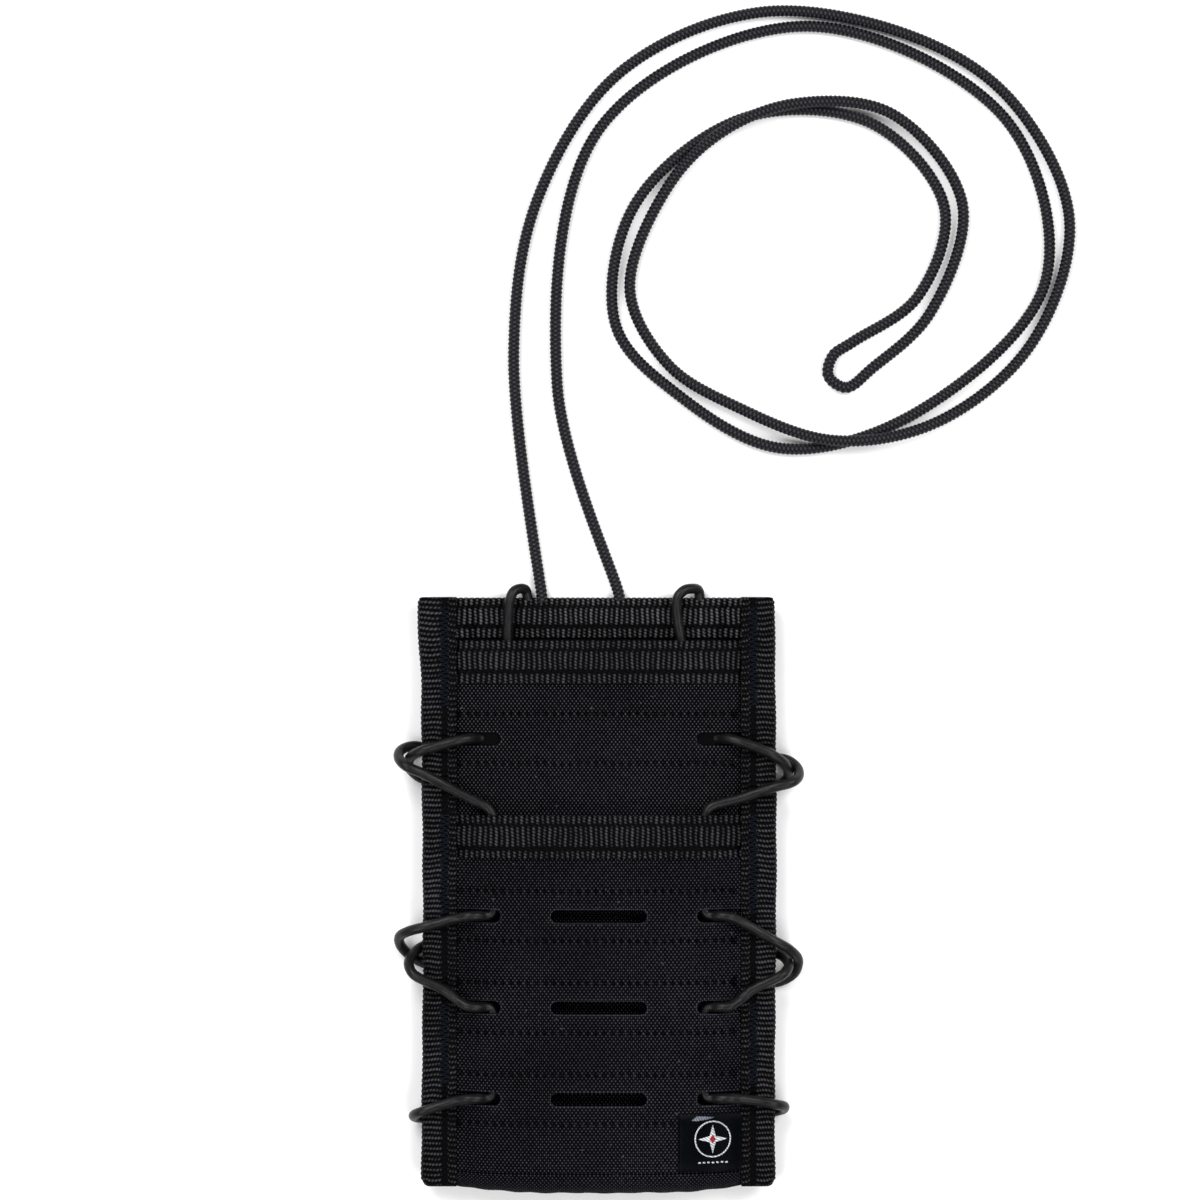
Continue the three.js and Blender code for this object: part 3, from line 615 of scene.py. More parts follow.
class Nodes:
    """A short way to write a node material."""

    def __init__(self, name, color):
        self.color = color
        self.material = bpy.data.materials.new(name)
        self.material.use_nodes = True
        self.tree = self.material.node_tree
        self.shader = self.tree.nodes["Principled BSDF"]

    def add(self, kind, **settings):
        node = self.tree.nodes.new(kind)
        for key, value in settings.items():
            setattr(node, key, value)
        return node

    def link(self, source, target):
        self.tree.links.new(source, target)

    def put(self, socket, value):
        if isinstance(value, bpy.types.NodeSocket):
            self.link(value, socket)
        else:
            socket.default_value = value

    def math(self, operation, a, b=0.0, c=0.0):
        node = self.add("ShaderNodeMath", operation=operation)
        for socket, value in zip(node.inputs, (a, b, c)):
            self.put(socket, value)
        return node.outputs[0]

    def scaled(self, value, gain, base):
        """The value times the gain, on top of the base."""
        return self.math("MULTIPLY_ADD", value, gain, base)

    def yarns(self, value):
        """A row of round humps, one for each whole step of the value."""
        return self.math("ABSOLUTE", self.math("SINE", self.math("MULTIPLY", value, math.pi)))

    def noise(self, scale, detail, vector=None):
        vector = vector or self.place()
        node = self.add("ShaderNodeTexNoise")
        self.link(vector, node.inputs["Vector"])
        node.inputs["Scale"].default_value = scale
        node.inputs["Detail"].default_value = detail
        return node.outputs["Fac"]

    def ramp(self, value, stops):
        """A run of tones of the colour. Each stop has its place and how bright the colour is there."""
        node = self.add("ShaderNodeValToRGB")
        self.link(value, node.inputs["Fac"])
        elements = node.color_ramp.elements
        while len(elements) < len(stops):
            elements.new(0.5)
        for element, (place, gain) in zip(elements, stops):
            element.position = place
            element.color = (*(part * gain for part in self.color), 1)
        return node.outputs["Color"]

    def uv(self):
        """The place along and across the cloth, in millimetres."""
        node = self.add("ShaderNodeUVMap", uv_map="cloth")
        split = self.add("ShaderNodeSeparateXYZ")
        self.link(node.outputs["UV"], split.inputs["Vector"])
        return split.outputs["X"], split.outputs["Y"]

    def place(self):
        return self.add("ShaderNodeTexCoord").outputs["Object"]

    def relief(self):
        return self.add("ShaderNodeAttribute", attribute_name="relief").outputs["Fac"]

    def bump(self, height, distance):
        node = self.add("ShaderNodeBump")
        node.inputs["Strength"].default_value = 1.0
        node.inputs["Distance"].default_value = distance
        self.link(height, node.inputs["Height"])
        return node.outputs["Normal"]

    def finish(self, tone, stops, roughness, height, depth, specular):
        """The tone runs through the stops, and the height makes a bump as deep as depth, in mm."""
        self.link(self.ramp(tone, stops), self.shader.inputs["Base Color"])
        self.put(self.shader.inputs["Roughness"], roughness)
        self.link(self.bump(height, depth * MM), self.shader.inputs["Normal"])
        self.shader.inputs["Specular IOR Level"].default_value = specular
        return self.material


def woven(name, color, yarns, depth, roughness=0.75, lint=True, turns=0.75):
    """Plain-woven cloth: warp and weft yarns that take turns on top, their tops painted lighter as a painted
    highlight. yarns has how far apart they lie, and turns is how much lower the yarn underneath is, and how
    much darker it is painted as painted shade."""
    n = Nodes(name, color)
    u, v = n.uv()
    u, v = n.math("DIVIDE", u, yarns[0]), n.math("DIVIDE", v, yarns[1])
    warp, weft = n.yarns(u), n.yarns(v)
    turn = n.math("FLOORED_MODULO", n.math("ADD", n.math("FLOOR", u), n.math("FLOOR", v)), 2.0)
    dot = n.math("POWER", n.math("MULTIPLY", warp, weft), 0.7)
    height = n.math("MULTIPLY", dot, n.scaled(turn, turns, 1 - turns))
    broad = n.noise(38.0, 4.0)
    fine = n.noise(1100.0, 2.0)
    tone = n.scaled(broad, 0.3, n.scaled(fine, 0.45, -0.3))
    # Painted highlight on the yarn tops and painted shade in the gaps and on the yarn underneath.
    tone = n.scaled(height, 0.8, tone)
    # The relief attribute adds painted highlight on slot edges and painted shade in stitch dents.
    tone = n.scaled(n.relief(), 0.6, tone)
    if lint:
        speck = n.math("GREATER_THAN", n.noise(800.0, 0.0), 0.87)
        tone = n.scaled(speck, 0.6, tone)
    # The top stop lifts the yarn tops far above the base colour as a painted highlight; the lint specks reach
    # it with their own pale colour.
    stops = [(0.08, 0.02), (0.45, 0.8), (0.85, 20.0)]
    rough = n.scaled(broad, 0.2, roughness - 0.1)
    return n.finish(tone, stops, rough, height, depth, 0.025)


def ribbed(name, color, rib_width, painted_highlight=24.0):
    """Ribbed tape: its ribs are in the mesh, and slanted yarns wrap each one. Its tone is painted shade
    wherever the relief is low, in the grooves between ribs and the dents along the stitching, and painted
    highlight on the rib crests and the yarn tops.
    """
    n = Nodes(name, color)
    u, v = n.uv()
    slant = n.scaled(u, 0.7 / rib_width, n.math("DIVIDE", v, BEAD))
    bead = n.math("POWER", n.yarns(slant), 0.7)
    fine = n.noise(1500.0, 3.0)
    broad = n.noise(60.0, 3.0)
    # Low relief gives painted shade, high relief gives painted highlight.
    crest = n.scaled(n.relief(), 3.6, 1.0)
    crest = n.math("POWER", n.math("MAXIMUM", crest, 0.0), 1.7)
    tone = n.math("MULTIPLY", crest, n.scaled(bead, 0.62, 0.36))
    tone = n.scaled(broad, 0.35, n.math("SUBTRACT", tone, 0.42))
    tone = n.scaled(fine, 0.5, tone)
    # The top stop is the painted highlight on the rib crests.
    stops = [(0.15, 0.02), (0.5, 0.8), (0.9, painted_highlight)]
    height = n.scaled(bead, 0.8, n.math("MULTIPLY", fine, 0.4))
    return n.finish(tone, stops, 0.6, height, 0.12, 0.04)


def sheathed(name, color, roughness, gain, streak, specular):
    """The sheath of a cord: fine yarns that run along it, over the relief of its strands, with painted shade
    in the valleys between the strands.
    """
    n = Nodes(name, color)
    u, v = n.uv()
    along = n.add("ShaderNodeCombineXYZ")
    n.link(n.math("MULTIPLY", u, 0.25), along.inputs["X"])
    n.link(n.math("MULTIPLY", v, 2.2), along.inputs["Y"])
    yarn = n.noise(1.5, 3.0, along.outputs["Vector"])
    fine = n.noise(1300.0, 2.0)
    tone = n.scaled(yarn, streak, n.scaled(fine, 0.3, 0.35 - 0.5 * streak))
    # Painted shade: the relief darkens the tone in the valleys between the braid's strands, as strongly as
    # gain sets.
    tone = n.scaled(n.relief(), gain, tone)
    stops = [(0.05, 0.1), (0.5, 1.0), (1.0, 4.0)]
    height = n.scaled(yarn, 0.8, n.math("MULTIPLY", fine, 0.4))
    return n.finish(tone, stops, roughness, height, 0.08, specular)


def twisted(name, color):
    """Sewing thread with a visible twist."""
    n = Nodes(name, color)
    twist = n.add("ShaderNodeTexWave", wave_type="BANDS", bands_direction="DIAGONAL")
    twist.inputs["Scale"].default_value = 900.0
    twist.inputs["Distortion"].default_value = 1.0
    n.link(n.place(), twist.inputs["Vector"])
    fine = n.noise(1700.0, 1.0)
    tone = n.scaled(twist.outputs["Fac"], 0.5, n.math("MULTIPLY", fine, 0.5))
    stops = [(0.1, 0.3), (0.6, 1.0), (1.0, 2.2)]
    return n.finish(tone, stops, 0.55, twist.outputs["Fac"], 0.05, 0.06)


def satin(name, color):
    """Satin-woven label: fine floats in one direction."""
    n = Nodes(name, color)
    _, v = n.uv()
    floats = n.math("SINE", n.math("MULTIPLY", v, 2 * math.pi / 0.22))
    fine = n.noise(1100.0, 3.0)
    height = n.scaled(floats, 0.5, fine)
    tone = n.scaled(floats, 0.12, n.math("MULTIPLY", fine, 0.9))
    stops = [(0.2, 0.5), (0.6, 1.0), (1.0, 2.0)]
    return n.finish(tone, stops, 0.3, height, 0.03, 0.04)


def foam(name, color):
    n = Nodes(name, color)
    cells = n.add("ShaderNodeTexVoronoi")
    cells.inputs["Scale"].default_value = 1200.0
    n.link(n.place(), cells.inputs["Vector"])
    stops = [(0.0, 0.5), (0.6, 1.0), (1.0, 1.3)]
    return n.finish(cells.outputs["Distance"], stops, 0.95, cells.outputs["Distance"], 0.3, 0.5)


def plain_floor(name, color):
    n = Nodes(name, color)
    fine = n.noise(400.0, 2.0)
    stops = [(0.0, 0.99), (1.0, 1.0)]
    return n.finish(fine, stops, 0.9, fine, 0.02, 0.1)


SHELL = woven("shell_fabric", (0.0025, 0.0024, 0.0030), (0.525, 0.68), 0.11)
POCKET_CLOTH = woven("pocket_cloth", (0.0021, 0.0020, 0.0026), (0.525, 0.70), 0.11, turns=0.5)
# The lining's colour is its own dark tone darkened further with painted shade, for the shade inside the slots
# where it shows.
LINING_CLOTH = woven("lining", (0.0004, 0.0004, 0.0005), (0.3, 0.3), 0.05, 0.6, lint=False)
STRIP_CLOTH = woven("strip", (0.0018, 0.0018, 0.0022), (0.6, 0.7), 0.09, lint=False)
TOP_TAPE = ribbed("top_tape", (0.0034, 0.0034, 0.0038), CROSS_RIB)
MOUTH_TAPE = ribbed("mouth_tape", (0.0019, 0.0019, 0.0022), CROSS_RIB)
SIDE_TAPE = ribbed("side_tape", (0.0013, 0.0013, 0.0015), SIDE_RIB, painted_highlight=37.0)
THREAD = twisted("thread", (0.0004, 0.0004, 0.0009))
TACK_THREAD = twisted("tack_thread", (0.0026, 0.0036, 0.0075))
SHOCK_CORD = sheathed("shock_cord", (0.0046, 0.0046, 0.0052), 0.38, 0.0, 1.5, 0.2)
BRAIDED_CORD = sheathed("braided_cord", (0.0085, 0.0082, 0.0105), 0.5, 5.5, 0.4, 0.12)
LABEL_SATIN = satin("label_satin", (0.0008, 0.0011, 0.0020))
WHITE_THREAD = twisted("white_thread", (0.5, 0.52, 0.55))
RED_THREAD = twisted("red_thread", (0.32, 0.02, 0.03))
# Pale threads that stand for the sheen on the label's folded edge: a painted highlight.
PAINTED_SHEEN = twisted("painted_sheen", (0.17, 0.19, 0.23))
FOAM = foam("foam", (0.1, 0.1, 0.11))


# ---- camera, light, floor

VIEW_WIDTH = 321.6 * MM
VIEW_SHIFT = 0.3 * MM
CAMERA_HEIGHT = 1.5
FLOOR_REACH = 4000

# Each lamp's name, azimuth in degrees and power in watts.
LAMPS = (("key", 125, 11.5), ("fill", 30, 10.0), ("left", 215, 6.5), ("low", 305, 6.0))
LAMP_DISTANCE = 0.85
LAMP_HEIGHT = 1.0
LAMP_SIZE = 0.6
SKY_STRENGTH = 0.22


def build_camera(middle_y):
    """Looks straight down on the middle of the object."""
    data = bpy.data.cameras.new("camera")
    data.sensor_width = 36
    data.lens = data.sensor_width * CAMERA_HEIGHT / VIEW_WIDTH
    data.clip_end = 20
    camera = bpy.data.objects.new("camera", data)
    camera.location = (VIEW_SHIFT, middle_y, CAMERA_HEIGHT)
    bpy.context.scene.collection.objects.link(camera)
    bpy.context.scene.camera = camera


def build_sky():
    world = bpy.data.worlds.new("studio")
    world.use_nodes = True
    background = world.node_tree.nodes["Background"]
    background.inputs["Color"].default_value = (1, 1, 1, 1)
    background.inputs["Strength"].default_value = SKY_STRENGTH
    bpy.context.scene.world = world
    bpy.context.scene.view_settings.view_transform = "Standard"


def build_lamps(middle_y):
    for name, azimuth, power in LAMPS:
        lamp = bpy.data.lights.new(name, "AREA")
        lamp.size = LAMP_SIZE
        lamp.energy = power
        obj = bpy.data.objects.new(name, lamp)
        turn = math.radians(azimuth)
        away = LAMP_DISTANCE * math.cos(turn), LAMP_DISTANCE * math.sin(turn)
        obj.location = (away[0], middle_y + away[1], LAMP_HEIGHT)
        obj.rotation_euler = (Vector((0, middle_y, 0)) - obj.location).to_track_quat("-Z", "Y").to_euler()
        bpy.context.scene.collection.objects.link(obj)


def build_stage():
    middle_y = (cad_low.y + cad_high.y) / 2 - VIEW_SHIFT
    build_camera(middle_y)
    corners = [(FLOOR_REACH * x, FLOOR_REACH * y, 0) for x, y in ((-1, -1), (1, -1), (1, 1), (-1, 1))]
    make_mesh("floor", corners, [[0, 1, 2, 3]], plain_floor("floor", (0.97, 0.97, 0.97)))
    build_sky()
    build_lamps(middle_y)


# ---- spans, and pieces that stand for the frame's parts

def bend_with_main(obj, side):
    """Bakes the piece's placing into its mesh."""
    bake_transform(obj)


def bend_with_front(obj, side):
    """Bakes the piece's placing into its mesh."""
    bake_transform(obj)


# Each layer's spans across the pouch, with the function each span's piece is passed to and its side.
MAIN_SPANS = [
    ("left", (-CROWN_HALF, 0.0), bend_with_main, -1),
    ("right", (0.0, CROWN_HALF), bend_with_main, 1),
]
FRONT_SPANS = [
    ("left_side", (-CROWN_HALF, -FREE_X), bend_with_main, -1),
    ("left_middle", (-FREE_X, 0.0), bend_with_front, -1),
    ("right_middle", (0.0, FREE_X), bend_with_front, 1),
    ("right_side", (FREE_X, CROWN_HALF), bend_with_main, 1),
]


def up_to_seam(span, reach):
    """A span that ends at a side seam goes as far as the reach there."""
    low, high = span
    return -reach if low == -CROWN_HALF else low, reach if high == CROWN_HALF else high


def tucked(span):
    """Cloth that ends at a side seam goes on under the side binding."""
    return up_to_seam(span, SEAM_ALLOWANCE_X)


def inside(span, values):
    return [v for v in values if span[0] <= v < span[1]]


def across_layer(label, make, spans, slot, *nodes):
    """Makes one piece for each span of a layer and bakes its placing. They stand for the nodes."""
    for where, span, move, side in spans:
        piece = make(f"{label}_{where}", span)
        move(piece, side)
        stand_for(piece, slot, *nodes)


def stand_for(obj, slot, *nodes):
    """Hides the nodes that the piece stands for. The piece and its material slot are not used."""
    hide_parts(*nodes)


def ride(obj, body, slot, *nodes):
    """Gives a piece its body and hides the nodes that it replaces, if there are any. Its material slot is not
    used.
    """
    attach(obj, body)
    if nodes:
        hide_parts(*nodes)
    return obj


# ---- pieces

def build_neck_cord():
    step = 0.23
    path, places = route([NECK_CORD_START, *NECK_CORD, NECK_CORD_END], step, CORD_RADIUS)
    strands = braid(BRAID_STRANDS, BRAID_PITCH, BRAID_DEPTH)
    piece = cord("neck_cord_braided", path, places, CORD_RADIUS - 0.05, BRAIDED_CORD, 24, strands)
    ride(piece, "back", "braided_cord", "neck_cord")


def knot(name, centre, size):
    """An overhand knot pulled tight, flattened to the size given."""
    t = np.linspace(0, 2 * math.pi, 73)[:-1]
    line = np.column_stack([np.sin(t) + 2 * np.sin(2 * t), np.cos(t) - 2 * np.cos(2 * t), -np.sin(3 * t)])
    line *= (np.array(size) - KNOT_STRAND_RADIUS) / np.array([3, 3, 1])
    line = np.vstack([line, line[0]]) + centre
    return cord(name, line, running_length(line), KNOT_STRAND_RADIUS, SHOCK_CORD, 10)


def build_laces():
    for (label, side), points in zip(SIDES, (LACE_LEFT, LACE_RIGHT)):
        path, places = route(points, 0.5, LACE_RADIUS)
        lace = cord(f"elastic_lace_{label}", path, places, LACE_RADIUS, SHOCK_CORD, 16)
        bend_with_main(lace, side)
        stand_for(lace, "shock_cord", f"lace_{label}")
        for end in ("upper", "lower"):
            node = f"lace_knot_{end}_{label}"
            low, high = box_mm(node)
            tied = knot(f"tied_{end}_end_{label}", (low + high) / 2, (high - low) / 2)
            if end == "upper":
                bend_with_main(tied, side)
            else:
                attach(tied, "back")
            stand_for(tied, "shock_cord", node)


def build_loops():
    for (label, _), points in zip(SIDES, (LOOP_LEFT, LOOP_RIGHT)):
        path, places = route(points, 0.4, LACE_RADIUS)
        piece = cord(f"elastic_loop_{label}", path, places, LACE_RADIUS, SHOCK_CORD, 16)
        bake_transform(piece)
        stand_for(piece, "shock_cord", f"retention_loop_{label}")


PAD_INSET = 0.25
PUFF_ROOM = 0.35
PUFF_LIMIT = 0.3 * MM
PUFF_FRAMES = 12


def pad_shape():
    """The foam pad: a slab puffed up a little by a short cloth simulation."""
    low, high = PAD_LOW + PAD_INSET, PAD_HIGH - PAD_INSET
    top = high[2] - PUFF_ROOM
    thickness = high[2] - low[2] - 2 * PUFF_ROOM
    slab = cloth("foam_pad", (low[0], high[0]), (low[1], high[1]), lambda x, y: np.full(len(x), top),
                 thickness, FOAM, spacing=4)
    rest = np.array([v.co for v in slab.data.vertices])
    puff = slab.modifiers.new("puff", "CLOTH")
    puff.settings.use_pressure = True
    puff.settings.uniform_pressure_force = 4
    puff.settings.effector_weights.gravity = 0
    for step in range(PUFF_FRAMES):
        bpy.context.scene.frame_set(step + 1)
    settled = slab.evaluated_get(bpy.context.evaluated_depsgraph_get()).to_mesh()
    moved = np.array([v.co for v in settled.vertices])
    slab.modifiers.remove(puff)
    bpy.context.scene.frame_set(1)
    shift = np.clip(moved - rest, -PUFF_LIMIT, PUFF_LIMIT)
    slab.data.vertices.foreach_set("co", (rest + shift).astype(np.float32).ravel())
    slab.data.update()
    return slab


def build_back():
    whole = (-SEAM_ALLOWANCE_X, SEAM_ALLOWANCE_X)
    y_range = (FOLD_START_Y - 0.6, TOP_Y - 0.9)
    outer = cloth("back_panel", whole, y_range, lambda x, y: back_z(x, y) + FABRIC, FABRIC, SHELL)
    ride(outer, "back", "shell_fabric", "back_outer_fabric")
    lining = cloth("back_panel_lining", whole, y_range,
                   lambda x, y: back_lining_z(x, y) + LINING + ripple(x, y, 0.08), LINING, LINING_CLOTH)
    ride(lining, "back", "lining", "back_lining")
    pad = ride(pad_shape(), "back", "foam", "back_foam_pad")


SEWN_FOLD_DEPTH = 3.0


def build_bottom_fold():
    """The cloth turns round the bottom in one soft roll, tighter at the sewn sides."""
    xs = np.linspace(-SEAM_ALLOWANCE_X, SEAM_ALLOWANCE_X, 90)
    depth = lerp(SEWN_FOLD_DEPTH, FOLD_START_Y - BOTTOM_Y, crown(xs * 0.9)) + ripple(3 * xs, 0, 0.12) - 0.12
    low = back_z(xs, np.full_like(xs, FOLD_START_Y))
    high = front_z(xs, np.full_like(xs, FOLD_START_Y)) + FABRIC
    turn = np.linspace(math.pi / 2, -math.pi / 2, 22)
    middle, half = (low + high) / 2, (high - low) / 2
    wrinkle = 0.1 * np.sin(0.8 * xs[:, None] + 3 * turn[None, :]) * np.cos(turn)[None, :] ** 2

    def side(inset):
        y = FOLD_START_Y - (depth[:, None] - inset + wrinkle) * np.cos(turn)
        z = middle[:, None] + (half[:, None] - inset) * np.sin(turn)
        return np.stack([np.broadcast_to(xs[:, None], y.shape), y, z], 2)

    rings = np.concatenate([side(0.0), side(FABRIC)[:, ::-1]], 1)
    around = running_length(rings[len(xs) // 2])
    v = np.append(around, around[-1] + FABRIC)
    roll = loft("bottom_roll", rings, POCKET_CLOTH, xs, v)
    ride(roll, "back", "shell_fabric", "bottom_fold")


def surface_relief(rows, slots):
    """What stitching, slots and the strips behind do to the height of a panel."""
    def relief(x, y):
        raised = ripple(x, y, 0.16)
        for row in rows:
            raised = raised + 0.12 * smooth((STRIP_HALF_HEIGHT + 0.6 - np.abs(y - row)) / 1.2)
            for stitch in (row - STITCH_FROM_ROW, row + STITCH_FROM_ROW):
                dent = 0.18 + 0.16 * np.cos(2 * math.pi * (x - STITCH_X[0]) / STITCH_PITCH)
                raised = raised - dent * np.exp(-((y - stitch) / 0.6) ** 2)
        distance = slot_distance(x, y, slots)
        return raised + 0.1 * np.exp(-((distance - 0.2) / 0.25) ** 2) - 0.15 * np.exp(-(distance / 1.5) ** 2)
    return relief


def stitch_lines(rows):
    return [row + side * STITCH_FROM_ROW for row in rows for side in (-1, 1)]


def panel_top(underside, relief):
    """The upper face of a front panel, its relief fading out towards the sewn sides."""
    return lambda x, y: underside(x, y) + FABRIC + relief(x, y) * smooth(crown(x) / 0.3) - 0.05


def panel_stitches(rows, top):
    """A maker of the rows of stitches that lie on a panel."""
    def stitches(name, span):
        xs = inside(span, STITCH_X)
        lines = [
            stitch_row(f"{name}_{n}", xs, y, lambda x, y: top(x, y) - 0.02, THREAD)
            for n, y in enumerate(stitch_lines(rows))
        ]
        return join(name, lines)
    return stitches


def slot_strip(name, span, row, top, thickness, slots):
    """The reinforcement behind one row of slots."""
    x_range = (max(span[0], -STRIP_HALF_WIDTH), min(span[1], STRIP_HALF_WIDTH))
    y_range = (row - STRIP_HALF_HEIGHT, row + STRIP_HALF_HEIGHT)
    return cloth(name, x_range, y_range, top, thickness, STRIP_CLOTH, slots)


def build_main_panel():
    rows = ROW_Y[:1]
    slots = side_slots(rows[0])
    relief = surface_relief(rows, slots)
    bottom = FOLD_START_Y + 1
    lining_top = MAIN_LOW[1] - GAP
    top = panel_top(lambda x, y: main_z(x), relief)

    def panel(name, span):
        y_range = (bottom, MAIN_HIGH[1] - 1)
        return cloth(name, tucked(span), y_range, top, FABRIC, SHELL, slots, stitch_lines(rows))

    def lining(name, span):
        return cloth(name, tucked(span), (bottom, lining_top), lambda x, y: main_z(x) - GAP, LINING,
                     LINING_CLOTH, spacing=2.5)

    def strip(name, span):
        return slot_strip(name, span, rows[0], lambda x, y: main_z(x) - 0.08, LINING - 0.1, slots)

    across_layer("main_panel", panel, MAIN_SPANS, "shell_fabric",
                 "main_panel_fabric", "main_panel_edge_left", "main_panel_edge_right")
    across_layer("main_lining", lining, MAIN_SPANS, "lining", "main_panel_lining")
    across_layer("row_1_strip", strip, MAIN_SPANS, "strip",
                 "row_1_reinforcement_left", "row_1_reinforcement_right")
    across_layer("main_stitching", panel_stitches(rows, top), MAIN_SPANS, "thread")


def build_front_pocket():
    rows = ROW_Y[1:]
    slots = [slot for row in rows for slot in all_slots(row)]
    top = panel_top(front_z, surface_relief(rows, slots))

    def panel(name, span):
        y_range = (FOLD_START_Y + FOLD_CLEARANCE, FRONT_HIGH[1] - 1)
        return cloth(name, tucked(span), y_range, top, FABRIC, POCKET_CLOTH, slots, stitch_lines(rows))

    def strip_top(x, y):
        return front_z(x, y) - GAP

    def strips(name, span):
        return join(name, [
            slot_strip(f"{name}_{row:.0f}", span, row, strip_top, LINING, all_slots(row)) for row in rows
        ])

    behind = [f"row_{n}_reinforcement{end}" for n in (2, 3, 4) for end in ("", "_left", "_right")]
    across_layer("front_pocket", panel, FRONT_SPANS, "shell_fabric",
                 "front_pocket_fabric", "front_pocket_edge_left", "front_pocket_edge_right")
    across_layer("slot_strips", strips, FRONT_SPANS, "strip", *behind)
    across_layer("front_stitching", panel_stitches(rows, top), FRONT_SPANS, "thread")


LEAF = np.linspace(0, 1, 26)
SIDE_LEAF = np.linspace(0, 1, 44)
TAPE_REACH = 38.5
TAPE_FOLD = 0.7
SIDE_TAPE_FOLD = 1.6
STITCH_SINK = 0.22


def tape_stations(span):
    return np.linspace(*span, max(8, round((span[1] - span[0]) / (CROSS_RIB / 8))))


def mouth_tape(name, span, low, high, underside, stitch_y, lean):
    """A tape over the top edge of a front panel, pressed flat where it is sewn in."""
    xs = tape_stations(up_to_seam(span, TAPE_REACH))
    base = underside(xs) - 0.4 * smooth((np.abs(xs) - 37) / 1.2)
    wrap = GAP + TAPE
    back = base - wrap * smooth(crown(xs) / 0.4) + 0.05
    return folded_tape(
        name, xs, True, high[1], low[1], TAPE_FOLD, back, base + FABRIC + wrap,
        LEAF, cross_tape_relief(high[1], stitch_y, lean), MOUTH_TAPE,
    )


def build_top_tape():
    xs = tape_stations((-TAPE_REACH, TAPE_REACH))
    stitch_y = TOP_Y - TOP_STITCH_IN

    def top_z(x):
        return back_lining_z(x, TOP_Y) + LINING + GAP + TAPE

    top = folded_tape(
        "top_tape", xs, True, TOP_Y, TOP_LOW[1], TAPE_FOLD, (SIDE_LOW[2] + 0.1) * margin(xs), top_z(xs),
        LEAF, cross_tape_relief(TOP_Y, stitch_y, 1), TOP_TAPE,
    )
    ride(top, "back", "binding_tape", "top_binding")
    sewn = stitch_row("top_tape_stitching", STITCH_X, stitch_y, lambda x, y: top_z(x) - STITCH_SINK, THREAD)
    ride(sewn, "back", "thread")


def build_mouth_tapes():
    def front_mouth_z(x):
        return front_z(x, FRONT_HIGH[1])

    layers = (
        ("main_mouth", MAIN_SPANS, MAIN_LOW, MAIN_HIGH, main_z, MAIN_STITCH_IN, 1),
        ("front_mouth", FRONT_SPANS, FRONT_LOW, FRONT_HIGH, front_mouth_z, FRONT_STITCH_IN, -1),
    )
    for label, spans, low, high, underside, stitch_in, lean in layers:
        stitch_y = high[1] - stitch_in

        def tape(name, span):
            return mouth_tape(name, span, low, high, underside, stitch_y, lean)

        def stitches(name, span):
            xs = inside(span, STITCH_X)
            lift = FABRIC + GAP + TAPE - STITCH_SINK
            return stitch_row(name, xs, stitch_y, lambda x, y: underside(x) + lift, THREAD)

        across_layer(f"{label}_tape", tape, spans, "binding_tape", f"{label}_binding")
        across_layer(f"{label}_stitching", stitches, spans, "thread")


# The y of each end of a side tape, which way the end faces, and how round its outer corner is.
TAPE_CORNERS = ((SIDE_LOW[1], -1, 2.6), (SIDE_HIGH[1], 1, 1.5))
LEFT_TAPE_LEAN = 1.1


def soften_side_tape(tape, side):
    """Rounds the outer corners of a side tape and lets its outer edge wander a little."""
    points = np.array([v.co for v in tape.data.vertices]) / MM
    for end_y, away, radius in TAPE_CORNERS:
        dx = np.maximum(side * points[:, 0] - HALF_WIDTH + radius, 0)
        dy = np.maximum(away * (points[:, 1] - end_y) + radius, 0)
        shrink = np.maximum(dx, dy) / np.maximum(np.hypot(dx, dy), 1e-6)
        points[:, 0] -= side * dx * (1 - shrink)
        points[:, 1] -= away * dy * (1 - shrink)
    outer = smooth((side * points[:, 0] - SEAM_INNER_X - 4) / 4)
    wander = 0.22 * np.sin(0.045 * points[:, 1] + side) + 0.1 * np.sin(0.31 * points[:, 1]) - 0.1
    if side < 0:
        wander = wander + LEFT_TAPE_LEAN * smooth((points[:, 1] - SIDE_HIGH[1] + 26) / 24)
    points[:, 0] += side * wander * outer
    tape.data.vertices.foreach_set("co", (points * MM).astype(np.float32).ravel())
    tape.data.update()


def build_side_tapes():
    step = SIDE_RIB / 6
    ys = np.arange(SIDE_LOW[1], SIDE_HIGH[1] + step / 2, step)
    low, high = np.full(len(ys), SIDE_LOW[2]), np.full(len(ys), SIDE_HIGH[2])
    for label, side in SIDES:
        tape = folded_tape(
            f"side_tape_{label}", ys, False, side * HALF_WIDTH, side * SEAM_INNER_X, SIDE_TAPE_FOLD,
            low, high, SIDE_LEAF, side_tape_relief(side), SIDE_TAPE,
        )
        soften_side_tape(tape, side)
        ride(tape, "back", "binding_tape", f"side_binding_{label}")
        groove_x = side * (SEAM_INNER_X + GROOVE_INSET)
        stitch_ys = np.arange(SIDE_LOW[1] + 2, SIDE_HIGH[1] - 1, STITCH_PITCH)
        centres = [np.array([groove_x, y, SIDE_HIGH[2] - 0.4]) for y in stitch_ys]
        slants = [(0.35, 1, 0)] * len(centres)
        ride(threads(f"side_stitching_{label}", centres, slants, 1.9, 0.18, 0.1, THREAD), "back", "thread")


ZIGZAG_STEP = 0.62


